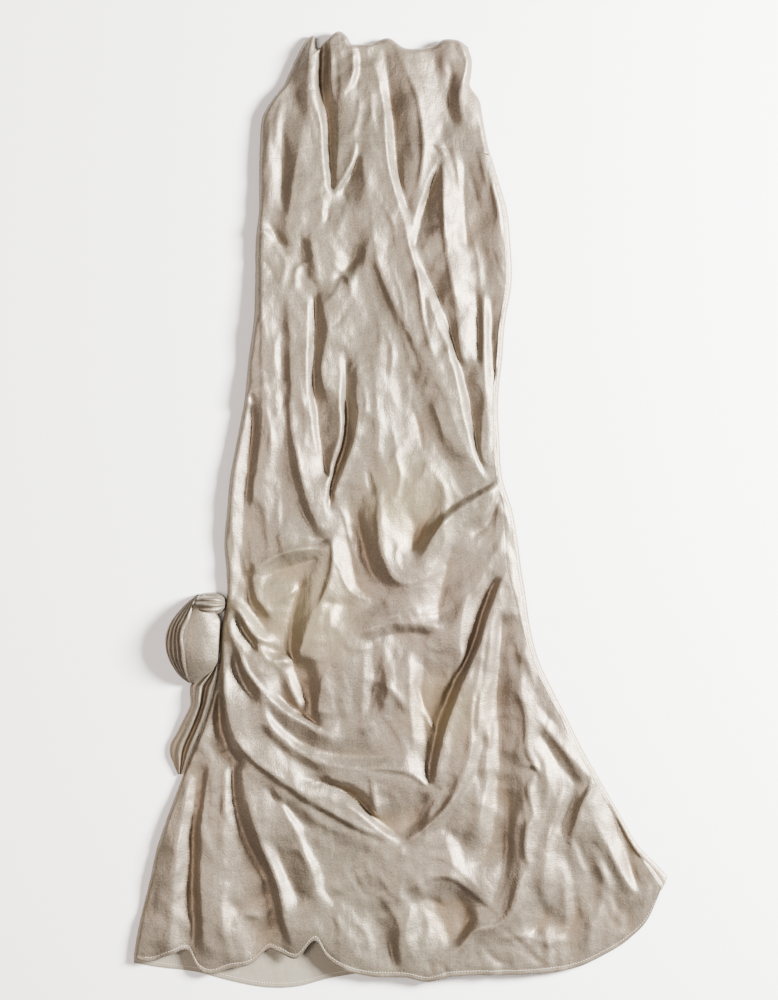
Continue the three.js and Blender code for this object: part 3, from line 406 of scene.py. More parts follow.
    ("dark streak on the thigh", ((-41, -213, 13), (-37, -248, 11), (-41, -278, 10),
        (-53, -300, 10), (-73, -318, 11))),
    ("thigh ridge, lower", ((-25, -218, 17), (-20, -270, 18), (-29, -303, 18),
        (-55, -330, 17))),
    ("second streak", ((-89, -342, 13), (-53, -339, 12), (-22, -324, 12), (-4, -285, 12))),
    ("gather groove, upper", ((-199, -288, 14), (-188, -312, 11), (-166, -334, 9),
        (-143, -351, 8), (-113, -362, 7), (-83, -368, 7), (-46, -370, 8), (-13, -370, 11))),
    ("gather between", ((-208, -288, 19), (-199, -312, 21), (-178, -338, 21), (-154, -357, 20),
        (-121, -375, 20), (-76, -384, 19), (-31, -386, 19), (5, -392, 19), (26, -400, 18),
        (43, -414, 14))),
    ("gather groove, lower", ((-211, -318, 14), (-193, -342, 12), (-172, -363, 11),
        (-143, -381, 11), (-112, -393, 11))),
    ("gap above the hem of the drape", ((-151, -399, 12), (-113, -408, 8), (-83, -420, 5),
        (-64, -435, 3), (-46, -453, 2), (-28, -470, 2), (-10, -482, 3), (4, -488, 5))),
    ("above that gap", ((-118, -399, 18), (-89, -404, 19), (-67, -411, 18), (-49, -426, 16),
        (-43, -444, 14))),
    ("hem band of the drape", ((-166, -404, 19), (-143, -416, 21), (-113, -428, 21),
        (-83, -440, 21), (-61, -453, 21), (-38, -471, 20), (-19, -484, 18), (-1, -496, 15))),
    ("lower edge of the drape", ((-266, -202, 16), (-265, -243, 19), (-262, -285, 22),
        (-257, -318, 23), (-247, -342, 24), (-233, -360, 24), (-217, -375, 24), (-199, -388, 24),
        (-176, -406, 23), (-151, -424, 22), (-121, -442, 22), (-83, -462, 21), (-46, -480, 19),
        (-7, -498, 15))),
    ("left of the drape", ((-275, -255, 5), (-272, -285, 5), (-269, -322, 5), (-262, -346, 6),
        (-250, -368, 6), (-232, -386, 7))),
    ("below the drape", ((-208, -408, 11), (-188, -426, 9), (-167, -447, 9), (-145, -470, 10),
        (-112, -492, 12), (-73, -507, 12), (-34, -514, 12))),
    ("flap over the drape point", ((-44, -393, 17), (-44, -420, 17), (-40, -444, 18),
        (-32, -465, 15))),
    ("deep skirt valley", ((-295, -381, 4), (-301, -435, 3), (-307, -480, 3), (-310, -525, 3),
        (-311, -585, 3), (-310, -652, 4))),
    ("skirt ridge, left", ((-316, -393, 13), (-322, -435, 16), (-329, -480, 18),
        (-337, -525, 19), (-341, -585, 20), (-344, -652, 19))),
    ("bank of the deep valley", ((-287, -384, 12), (-293, -435, 15), (-298, -480, 17),
        (-299, -525, 18), (-299, -570, 18), (-296, -615, 18), (-292, -657, 16))),
    ("small pleat groove", ((-284, -390, 11), (-287, -435, 11), (-287, -483, 11))),
    ("small pleat", ((-278, -381, 14), (-280, -435, 14), (-280, -480, 14))),
    ("second pleat groove", ((-271, -381, 12), (-272, -420, 12), (-271, -458, 12))),
    ("second pleat", ((-262, -381, 15), (-262, -435, 15), (-256, -480, 15))),
    ("valley of the first skirt fold", ((-251, -375, 7), (-250, -412, 6), (-244, -450, 6),
        (-235, -480, 6), (-223, -507, 6), (-211, -531, 6), (-199, -558, 7), (-190, -588, 7),
        (-182, -618, 7), (-173, -645, 8))),
    ("first skirt fold", ((-239, -375, 18), (-236, -412, 20), (-229, -447, 21),
        (-218, -477, 22), (-206, -504, 22), (-194, -528, 21), (-184, -555, 21), (-178, -582, 20),
        (-175, -608, 20), (-167, -633, 18), (-161, -654, 15))),
    ("second skirt fold", ((-208, -393, 14), (-188, -414, 17), (-178, -435, 19),
        (-167, -458, 20), (-155, -484, 21), (-143, -513, 21), (-133, -540, 21), (-127, -567, 20),
        (-124, -588, 17))),
    ("drop right of the second fold", ((-151, -468, 13), (-133, -510, 12), (-118, -546, 11),
        (-106, -570, 10), (-88, -591, 11))),
    ("valley between the skirt folds", ((-193, -488, 14), (-182, -518, 9), (-169, -548, 8),
        (-157, -570, 8), (-149, -591, 8))),
    ("skirt hollow, left", ((-254, -582, 11), (-241, -602, 8), (-220, -620, 7),
        (-199, -622, 7))),
    ("hem crease, left", ((-226, -630, 9), (-208, -645, 7), (-188, -658, 8))),
    ("hem bulge", ((-263, -555, 17), (-268, -600, 19), (-262, -645, 17))),
    ("bulge over the hollow hem", ((-151, -622, 15), (-131, -621, 18), (-113, -630, 17))),
    ("hem bulge, middle", ((-83, -622, 18), (-73, -652, 18), (-61, -678, 16))),
    ("hem fold", ((-64, -582, 13), (-43, -606, 10), (-23, -630, 9), (-14, -657, 9),
        (-8, -682, 9))),
    ("bank of the hem fold", ((-8, -592, 16), (-2, -622, 18), (-1, -657, 18), (1, -684, 16))),
)

EDGE_ROWS: tuple[tuple[float, float, float, tuple[Point, ...]], ...] = (
    (5, 10, 8, ((155, -93), (146, -114), (137, -135), (128, -158), (119, -183), (110, -207),
        (100, -231), (89, -255), (80, -279), (71, -303), (64, -327), (56, -352), (52, -378),
        (46, -411))),
    (5, 12, 8, ((154, 46), (130, 30), (104, 14), (77, -4), (59, -22))),
    (6, 10, 8, ((-64, 158), (-68, 128), (-74, 98), (-85, 72), (-94, 48), (-101, 27),
        (-106, 6))),
    (-5, 8, 10, ((-89, 165), (-86, 128), (-89, 105), (-97, 78), (-104, 54), (-109, 30))),
    (7, 8, 8, ((-110, 708), (-107, 675), (-107, 645), (-103, 615))),
    (-6, 8, 10, ((-124, 690), (-125, 660), (-125, 630), (-119, 597), (-115, 567), (-113, 525),
        (-109, 480))),
    (-4, 8, 6, ((-70, 675), (-68, 654), (-74, 633), (-88, 612))),
    (-4, 10, 6, ((-31, 638), (-23, 600), (-20, 555), (-17, 518), (-11, 488), (-4, 460))),
    (4, 6, 10, ((11, 645), (23, 615), (29, 578), (32, 540), (29, 510), (23, 477))),
    (-5, 6, 8, ((-65, 548), (-67, 525), (-74, 507), (-86, 489), (-95, 472))),
    (5, 8, 8, ((61, 525), (61, 480), (62, 428), (67, 382))),
    (-4, 6, 8, ((58, 525), (47, 498), (37, 471), (26, 447))),
    (6, 8, 10, ((-104, -45), (-103, -68), (-107, -98), (-115, -123), (-127, -150))),
    (5, 8, 8, ((-217, -98), (-202, -82), (-178, -70), (-151, -62), (-121, -58))),
    (6, 10, 10, ((-265, -210), (-265, -255), (-260, -300), (-250, -338), (-226, -369),
        (-199, -390), (-166, -414), (-136, -435), (-98, -456), (-61, -477), (-16, -495))),
    (-5, 8, 8, ((-148, -404), (-113, -411), (-83, -424), (-61, -442), (-40, -462),
        (-19, -478))),
    (-5, 8, 10, ((-253, -168), (-244, -198), (-232, -228), (-214, -255), (-190, -282),
        (-166, -302), (-133, -321), (-106, -339))),
    (-5, 8, 8, ((-259, -136), (-244, -142), (-232, -159), (-223, -180), (-208, -190),
        (-193, -196))),
    (6, 8, 10, ((296, -387), (287, -402), (275, -423), (266, -438), (259, -462), (253, -483),
        (250, -507))),
    (4, 9, 7, ((173, -273), (182, -303), (185, -338), (188, -363), (199, -387), (188, -412),
        (193, -442), (193, -459), (182, -476), (182, -510), (187, -531), (172, -555), (164, -579),
        (157, -600), (145, -614), (122, -616), (104, -630), (92, -652), (82, -675))),
    (4, 8, 10, ((11, -574), (31, -560), (50, -550), (71, -548), (89, -558), (107, -574),
        (131, -592), (149, -606))),
    (2, 8, 8, ((203, -310), (221, -333), (239, -357), (257, -387), (274, -408))),
    (-6, 8, 8, ((19, -255), (29, -285), (44, -315), (56, -338))),
    (4, 8, 8, ((-64, -375), (-49, -384), (-31, -386), (-1, -390), (17, -396), (29, -405),
        (44, -416))),
    (5, 8, 8, ((-47, -396), (-44, -420), (-40, -442), (-35, -462))),
    (-6, 10, 8, ((127, -172), (124, -202), (118, -255), (109, -288), (107, -345), (101, -378),
        (89, -408), (77, -435), (59, -458), (41, -472), (22, -484), (2, -498))),
    (6, 8, 8, ((77, -414), (59, -422), (49, -436), (40, -454), (29, -477))),
    (5, 10, 8, ((-241, -382), (-232, -420), (-223, -458), (-211, -495), (-199, -528),
        (-185, -562), (-176, -600))),
    (5, 8, 8, ((-301, -390), (-307, -450), (-310, -510), (-310, -585))),
)

CREASE_ROWS: tuple[tuple[float, float, float, tuple[Point, ...]], ...] = (
    (-2.5, 7, 5, ((-196, 428), (-182, 405), (-168, 380))),
    (2, 6, 4, ((-130, 372), (-155, 360), (-158, 326))),
    (2, 3, 7, ((1, 440), (16, 382), (27, 345), (35, 280), (49, 225))),
    (-2, 5, 5, ((-51, 68), (-46, 40), (-42, 22))),
    (-1.8, 6, 6, ((-104, 340), (-82, 362), (-60, 380))),
    (1.6, 7, 7, ((-38, 420), (-52, 380), (-54, 330))),
    (2, 7, 9, ((20, 250), (10, 200), (12, 150))),
    (1.8, 8, 6, ((-75, 470), (-88, 430), (-100, 400))),
    (1.6, 6, 8, ((-196, 300), (-190, 250), (-192, 200))),
    (2, 8, 6, ((-190, 140), (-196, 90), (-206, 40))),
    (-2, 8, 8, ((-180, 60), (-176, 10), (-180, -40))),
    (2.2, 7, 5, ((-30, -8), (-34, -50), (-26, -92))),
    (2.4, 6, 8, ((60, -8), (66, -48), (46, -92))),
    (2.2, 6, 5, ((-50, -160), (-10, -158), (30, -152))),
    (2.2, 8, 6, ((-60, -250), (-20, -262), (10, -300))),
    (2, 9, 7, ((-30, -300), (0, -340), (10, -390))),
    (-1.8, 8, 8, ((-100, -262), (-92, -300), (-88, -340))),
    (2.4, 6, 5, ((-200, -612), (-228, -604), (-250, -618))),
    (1.8, 5, 5, ((120, -250), (112, -330), (96, -400))),
    (-1.6, 6, 6, ((140, -300), (136, -360), (120, -430))),
    (2, 8, 7, ((222, -470), (214, -530), (222, -580))),
    (2, 8, 8, ((310, -560), (290, -610), (262, -652))),
    (-1.6, 7, 7, ((330, -590), (340, -610), (332, -632))),
    (2.2, 6, 7, ((-60, -540), (-90, -566), (-112, -560))),
    (2, 7, 6, ((20, -590), (6, -630), (22, -668))),
    (-1.8, 8, 7, ((-330, -540), (-336, -600), (-330, -650))),
    (1.8, 6, 8, ((-262, -420), (-266, -480), (-262, -540))),
    (2, 6, 6, ((146, -640), (190, -636), (230, -652))),
    (1.6, 6, 7, ((-50, 640), (-42, 600), (-52, 560))),
    (-1.6, 7, 6, ((-170, 600), (-176, 560), (-168, 520))),
    (1.8, 5, 6, ((60, 470), (66, 430), (60, 390))),
    (-1.8, 5, 5, ((130, 520), (134, 470), (142, 430))),
    (1.8, 4, 5, ((64, 330), (66, 280), (78, 230))),
    (-1.6, 3, 3, ((44, 546), (52, 537), (61, 528))),
    (-1.5, 3, 3, ((64, 546), (70, 538), (77, 530))),
    (1.5, 3, 3, ((53, 544), (61, 537), (68, 528))),
    (1.6, 6, 3, ((77, 540), (85, 507), (89, 472))),
    (-1.4, 4, 5, ((98, 525), (107, 488), (118, 447))),
    (1.5, 6, 3, ((116, 540), (125, 501), (137, 459))),
    (1.2, 5, 3, ((131, 510), (140, 471), (149, 432))),
    (-1.2, 4, 4, ((-43, 618), (-37, 588), (-32, 558))),
    (1.4, 6, 3, ((-134, 624), (-127, 597), (-116, 567))),
    (1.3, 6, 3, ((-176, 615), (-185, 582), (-187, 540))),
    (1.4, 5, 3, ((-61, 615), (-65, 582), (-76, 555))),
    (-1.2, 4, 4, ((-196, 540), (-196, 502), (-199, 458))),
    (1.5, 5, 2.5, ((-166, 108), (-155, 90), (-151, 60), (-143, 27))),
    (1.6, 6, 2.5, ((-113, 72), (-101, 48), (-100, 21))),
    (1.4, 6, 3, ((-175, 195), (-169, 158), (-164, 111))),
    (1.7, 7, 3, ((142, 33), (134, 3), (116, -24))),
    (1.6, 6, 3, ((149, 39), (145, 12), (142, -48))),
    (-1.5, 5, 5, ((130, 33), (116, 9), (92, -18))),
    (1.3, 5, 4, ((59, -21), (38, -38), (22, -62))),
    (1.5, 6, 3, ((-100, 15), (-83, -12), (-74, -48))),
    (1.4, 6, 4, ((-239, -9), (-241, -48), (-229, -96))),
    (1.2, 5, 4, ((-104, -69), (-89, -87), (-73, -102))),
    (1.4, 5, 3, ((-1, 442), (16, 382), (26, 345), (35, 278), (49, 225))),
    (1.2, 6, 4, ((-196, 405), (-173, 372), (-178, 330))),
    (-1.2, 5, 5, ((-226, 315), (-208, 278), (-211, 237))),
    (1.3, 6, 4, ((-151, 390), (-133, 352), (-106, 327))),
    (1.2, 5, 4, ((-83, 372), (-94, 330), (-118, 300))),
    (-1.2, 5, 5, ((-73, 315), (-91, 282), (-106, 270))),
    (1.4, 6, 3, ((-13, 360), (2, 315), (7, 262))),
    (1.2, 6, 4, ((-43, 315), (-31, 270), (-34, 218))),
    (1.3, 6, 3, ((68, 390), (77, 338), (89, 285))),
    (1.3, 5, 3, ((104, 420), (116, 372), (119, 315))),
    (-1.3, 5, 4, ((137, 390), (145, 363), (154, 336))),
    (1.2, 6, 4, ((-203, 195), (-199, 135), (-208, 75))),
    (1.2, 6, 4, ((-151, 195), (-142, 135), (-145, 82))),
    (-1.1, 6, 6, ((-199, 60), (-187, 15), (-199, -27))),
    (1.2, 6, 4, ((-16, 135), (-7, 90), (-19, 60))),
    (1.1, 7, 5, ((-38, 180), (-31, 120), (-37, 75))),
    (1.4, 6, 3, ((-173, -398), (-151, -416), (-113, -436))),
    (-1.5, 4, 4, ((-124, -537), (-113, -570), (-91, -594))),
    (1.4, 6, 4, ((-38, -531), (-25, -555), (-8, -579))),
    (1.4, 6, 4, ((-31, -570), (-17, -592), (-2, -616))),
    (-1.6, 4, 4, ((-19, -630), (-14, -657), (-10, -687))),
    (1.4, 6, 4, ((-238, -507), (-253, -528), (-265, -549))),
    (1.6, 6, 3, ((179, -380), (197, -381), (206, -392), (206, -420))),
    (1.7, 6, 3, ((149, -621), (164, -640), (188, -657), (223, -682))),
    (-1.5, 4, 4, ((44, -670), (46, -684), (46, -696))),
    (-1.4, 4, 4, ((55, -674), (64, -684), (73, -696))),
    (1.4, 6, 4, ((250, -488), (262, -510), (275, -542))),
    (1.4, 6, 4, ((299, -561), (317, -597), (334, -624))),
    (1.3, 6, 4, ((179, -435), (167, -480), (173, -528))),
    (1.2, 6, 5, ((239, -420), (221, -465), (218, -510))),
    (-1.3, 6, 5, ((104, -435), (92, -495), (101, -555))),
    (1.2, 7, 5, ((59, -480), (77, -525), (68, -585))),
    (1.2, 6, 5, ((44, -315), (65, -348), (59, -390))),
    (1.3, 6, 4, ((-76, -135), (-43, -153), (-7, -144))),
    (1.2, 6, 4, ((-91, -195), (-58, -207), (-19, -195))),
    (-1.2, 6, 5, ((-31, -165), (5, -183), (44, -168))),
    (1.3, 6, 4, ((29, -195), (59, -210), (77, -195))),
    (1.3, 6, 4, ((-241, -135), (-208, -153), (-175, -141))),
    (-1.2, 6, 5, ((-208, -195), (-181, -213), (-151, -210))),
    (1.3, 6, 4, ((-151, -285), (-112, -303), (-73, -297))),
    (1.3, 6, 4, ((-151, -444), (-106, -474), (-73, -483))),
    (1.2, 6, 4, ((-163, -498), (-133, -528), (-118, -561))),
    (-1.2, 5, 5, ((-313, -405), (-322, -465), (-334, -528))),
    (1.2, 6, 4, ((-283, -390), (-286, -450), (-295, -510))),
    (1.2, 6, 4, ((-262, -585), (-268, -621), (-256, -654))),
    (1.2, 6, 4, ((-331, -585), (-343, -621), (-361, -651))),
    (1.2, 6, 4, ((-73, -612), (-52, -630), (-43, -660))),
    (1.2, 7, 5, ((143, -285), (134, -345), (149, -405))),
    (-1.2, 6, 6, ((167, -270), (173, -330), (161, -390))),
    (-4, 9, 9, ((326, -458), (338, -502), (346, -537), (356, -580))),
    (-2.6, 4, 6, ((149, -618), (164, -634), (182, -650), (202, -668), (223, -684))),
    (3, 5, 5, ((242, -414), (239, -435), (233, -453), (221, -483), (203, -519))),
    (2.6, 5, 5, ((65, -237), (71, -255), (62, -276), (59, -297))),
    (2, 4, 4, ((2, -498), (1, -507), (-1, -525))),
    (3, 12, 9, ((23, -202), (2, -234), (-16, -270), (-25, -303))),
    (-2.6, 9, 9, ((10, -213), (-7, -243), (-7, -273), (-16, -288))),
    (1.5, 12, 9, ((-34, -195), (-22, -228), (-19, -270), (-31, -309))),
    (-3, 9, 9, ((208, -582), (214, -606), (200, -630), (185, -642))),
    (-3, 9, 9, ((260, -579), (265, -603), (254, -627), (239, -642))),
    (-2.6, 7, 9, ((257, -483), (269, -510), (278, -537))),
    (2.4, 9, 7, ((284, -504), (299, -540), (299, -585), (287, -630))),
    (2.4, 9, 7, ((239, -525), (248, -570), (233, -615))),
    (-2.6, 8, 8, ((311, -561), (323, -592), (317, -630))),
    (2.6, 9, 7, ((217, -510), (209, -555), (221, -592))),
    (-2.4, 8, 8, ((128, -338), (113, -375), (122, -420))),
    (2.6, 10, 8, ((122, -285), (128, -322), (137, -357))),
    (-3, 8, 10, ((61, -474), (82, -489), (92, -510))),
    (2.8, 10, 8, ((110, -405), (116, -453), (104, -495))),
    (2.2, 8, 6, ((179, -195), (191, -232), (203, -270))),
    (-2.6, 8, 8, ((167, -195), (173, -225), (179, -255))),
    (-2.2, 6, 6, ((203, -285), (221, -309), (239, -327))),
    (2.4, 8, 6, ((209, -381), (218, -411), (212, -444))),
    (-2.4, 5, 5, ((193, -381), (205, -396), (202, -417))),
    (-5, 10, 12, ((-56, 34), (-64, -10), (-56, -50), (-43, -93), (-13, -126))),
    (4, 9, 6, ((-26, 36), (-34, -8), (-28, -50), (-16, -94), (5, -108), (41, -99),
        (68, -84))),
    (3, 9, 7, ((41, 72), (64, 34), (64, -10), (44, -50), (25, -75))),
    (-3, 10, 10, ((2, 8), (25, -30), (28, -60), (13, -84))),
    (4, 9, 5, ((182, -414), (188, -460), (182, -518), (166, -592), (142, -620), (107, -626),
        (85, -657))),
    (-5, 9, 11, ((154, -420), (161, -465), (158, -518), (145, -570), (119, -600))),
    (-5, 14, 16, ((68, -555), (89, -588), (101, -624))),
    (-4, 10, 10, ((53, -582), (68, -622), (77, -657))),
    (1.7, 5, 3, ((-8, 82), (-1, 52), (-7, 18))),
    (-1.6, 4, 5, ((14, 165), (29, 120), (35, 82))),
    (1.7, 5, 3, ((44, 165), (59, 128), (68, 90))),
    (1.6, 5, 3, ((-83, -15), (-73, -57), (-61, -98))),
    (1.7, 6, 4, ((-1, -45), (-7, -69), (2, -90))),
    (1.9, 6, 4, ((4, -522), (-1, -555), (-4, -596))),
    (1.6, 5, 4, ((-43, -495), (-49, -525), (-40, -562))),
    (-1.8, 6, 5, ((-76, -510), (-67, -555), (-43, -585))),
    (1.7, 6, 4, ((-106, -585), (-91, -622), (-94, -660))),
    (1.9, 6, 4, ((29, -585), (41, -622), (29, -660))),
    (1.7, 6, 4, ((239, -555), (248, -600), (239, -645))),
    (1.7, 5, 4, ((277, -585), (284, -622), (277, -660))),
    (1.7, 6, 4, ((209, -615), (221, -652), (217, -682))),
    (-1.7, 5, 5, ((119, -642), (137, -668), (167, -682))),
    (1.6, 6, 4, ((292, -525), (308, -555), (317, -592))),
    (1.6, 5, 3, ((-97, -75), (-76, -120), (-43, -135))),
    (1.6, 5, 3, ((14, -150), (47, -153), (77, -141))),
    (3.5, 7, 4, ((119, -348), (104, -387), (83, -424), (56, -458), (29, -482), (4, -500))),
    (-4, 8, 10, ((77, -393), (65, -428), (44, -453), (17, -480))),
    (1.6, 5, 3, ((-226, 82), (-220, 30), (-226, -15))),
    (1.6, 5, 3, ((-199, 150), (-193, 105), (-196, 60))),
    (-1.6, 5, 5, ((-151, 15), (-142, -15), (-124, -45))),
    (1.7, 5, 3, ((-23, 270), (-13, 237), (-16, 195))),
    (1.6, 5, 3, ((-61, 195), (-52, 162), (-58, 120))),
    (-1.6, 4, 5, ((5, 270), (17, 237), (29, 207))),
    (1.6, 5, 3, ((-106, 372), (-79, 345), (-73, 315))),
    (1.6, 5, 3, ((-181, 270), (-187, 237), (-184, 198))),
    (1.8, 6, 4, ((-226, 442), (-208, 417), (-187, 405))),
    (-1.8, 5, 5, ((-217, 378), (-196, 363), (-184, 336))),
    (1.7, 5, 3, ((-31, 458), (-13, 432), (-7, 396))),
)

FOLDS = tuple(Fold(*row) for row in FOLD_ROWS)
EDGES = tuple(Edge(*row) for row in EDGE_ROWS)
CREASES = tuple(Crease(*row) for row in CREASE_ROWS)

# The light crumple of washed satin, from broad to fine
CRUMPLES: tuple[Crumple, ...] = (
    Crumple(11, 0.1, 66, 190, 3.2),
    Crumple(23, 0.55, 54, 120, 2.2),
    Crumple(31, -0.6, 56, 110, 2.0),
    Crumple(47, -0.15, 31, 84, 1.2),
    Crumple(59, 0.9, 34, 70, 1.1),
    Crumple(67, -1.1, 26, 44, 0.8),
    Crumple(73, 0.3, 17, 38, 0.35),
)

LEFT_ROLL = 9.0
RIGHT_ROLL = 7.0
NECK_LEVEL = 708.0
SEAM_LEVEL = 535.0
SEAM_GAP = 0.1
SEAM_EDGE = 0.3
DITCH_DEPTH = 0.25
DITCH_WIDTH = 2.0
ROLL_STEPS = 7
PLAN_WIDTH = 1000.0
STITCH_ROW = -6
STITCH_RISE = 0.2


def mix(a: Array | float, b: Array | float, t: Array | float) -> Array:
    """The value a share t of the way from a to b."""
    return a + (b - a) * t


def past(t: Array, start: float) -> Array:
    """Share of the way from a start to 1, held at 0 before it."""
    return np.clip((t - start) / (1 - start), 0, 1)


def table_curve(rows: Sequence[Row], column: int = 1) -> Callable[[Array], Array]:
    """Makes a smooth reading of one column of a table against its first column.

    Args:
        rows: The table, in any order.
        column: Which column is read.

    Returns:
        A function of an array of first-column values, held at the table's ends.
    """
    ordered = np.array(sorted(rows), float)
    at, value = ordered[:, 0], ordered[:, column]
    slope = np.gradient(value, at)

    def read(where: Array) -> Array:
        """Reads the curve at an array of values.

        Args:
            where: First-column values.

        Returns:
            The curve's value at each.
        """
        x = np.clip(where, at[0], at[-1])
        i = np.clip(np.searchsorted(at, x) - 1, 0, len(at) - 2)
        span = at[i + 1] - at[i]
        t = (x - at[i]) / span
        chord = value[i + 1] - value[i]
        limit = np.abs(3 * chord)
        into = np.clip(slope[i] * span, -limit, limit)
        out = np.clip(slope[i + 1] * span, -limit, limit)
        bend = into * t * (1 - t) ** 2 - out * t * t * (1 - t)
        return value[i] + chord * t * t * (3 - 2 * t) + bend

    return read


LEFT_SIDE = table_curve(SIDES, 1)
RIGHT_SIDE = table_curve(SIDES, 2)
RIGHT_EDGE = table_curve(SIDES, 3)
NECK_LINE = table_curve(NECK)
SEAM_LINE = table_curve(CROSS_SEAM)
STRIP_WIDTH = table_curve(SIDE_STRIP)
FRONT_HEM_LINE = table_curve(FRONT_HEM)
BACK_HEM_LINE = table_curve(BACK_HEM)


def side_seam(y: Array) -> Array:
    """x of the side seam at the right, at each y."""
    return RIGHT_SIDE(y) - STRIP_WIDTH(y)


def seam_ditch(distance: Array) -> Array:
    """How far the cloth dips beside a seam at that distance."""
    return DITCH_DEPTH * np.exp(-((distance / DITCH_WIDTH) ** 2))


def rounded(distance: Array, depth: float) -> Array:
    """Share of full height at a distance inside a rounded edge of that depth."""
    return np.sqrt(1 - (1 - np.clip(distance / depth, 0, 1)) ** 2)


def spline(path: Sequence[Sequence[float]], step: float) -> Array:
    """Points along a smooth curve through a path's stations.

    Args:
        path: Stations, each of two or three numbers.
        step: Distance between points, measured in plan.

    Returns:
        One point a row.
    """
    p = np.array(path, float)
    q = np.vstack([2 * p[0] - p[1], p, 2 * p[-1] - p[-2]])
    stretches = []
    for a, b, c, d in zip(q[:-3], q[1:-2], q[2:-1], q[3:]):
        count = max(2, int(np.linalg.norm((c - b)[:2]) / step))
        t = np.linspace(0, 1, count, endpoint=False)[:, None]
        square, cubic = 2 * a - 5 * b + 4 * c - d, 3 * b - a - 3 * c + d
        stretches.append(0.5 * (2 * b + (c - a) * t + square * t**2 + cubic * t**3))
    return np.vstack([*stretches, p[-1:]])


def run_along(points: Array) -> Array:
    """Distance run along a row of points, from its first."""
    return np.concatenate([[0], np.cumsum(np.linalg.norm(np.diff(points, axis=0), axis=1))])


def blur(values: Array, sigma: float) -> Array:
    """Softens a field with a Gaussian.

    Args:
        values: The field.
        sigma: The Gaussian's width, in cells.

    Returns:
        The softened field.
    """
    reach = int(3 * sigma) + 1
    weights = np.exp(-0.5 * (np.arange(-reach, reach + 1) / sigma) ** 2)
    weights /= weights.sum()
    for axis in (0, 1):
        pad = [(0, 0), (0, 0)]
        pad[axis] = (reach, reach)
        wide = np.pad(values, pad, mode="edge")
        size = values.shape[axis]
        values = sum(
            w * np.take(wide, range(i, i + size), axis=axis) for i, w in enumerate(weights)
        )
    return values


def gradient_noise(x: Array, y: Array, seed: int) -> Array:
    """Smooth noise between -1 and 1 with a cell of 1, the same on each run.

    Args:
        x: Coordinates across.
        y: Coordinates along.
        seed: Which noise.

    Returns:
        One value for each point.
    """
    turn = np.random.default_rng(seed).uniform(0, 2 * math.pi, (256, 256))
    i, j = np.floor(x).astype(int), np.floor(y).astype(int)
    u, v = x - i, y - j

    def corner(di: int, dj: int) -> Array:
        """What the lattice point at that offset adds."""
        angle = turn[(i + di) % 256, (j + dj) % 256]
        return np.cos(angle) * (u - di) + np.sin(angle) * (v - dj)

    su, sv = u**3 * (u * (6 * u - 15) + 10), v**3 * (v * (6 * v - 15) + 10)
    low = mix(corner(0, 0), corner(1, 0), su)
    high = mix(corner(0, 1), corner(1, 1), su)
    return 1.5 * mix(low, high, sv)


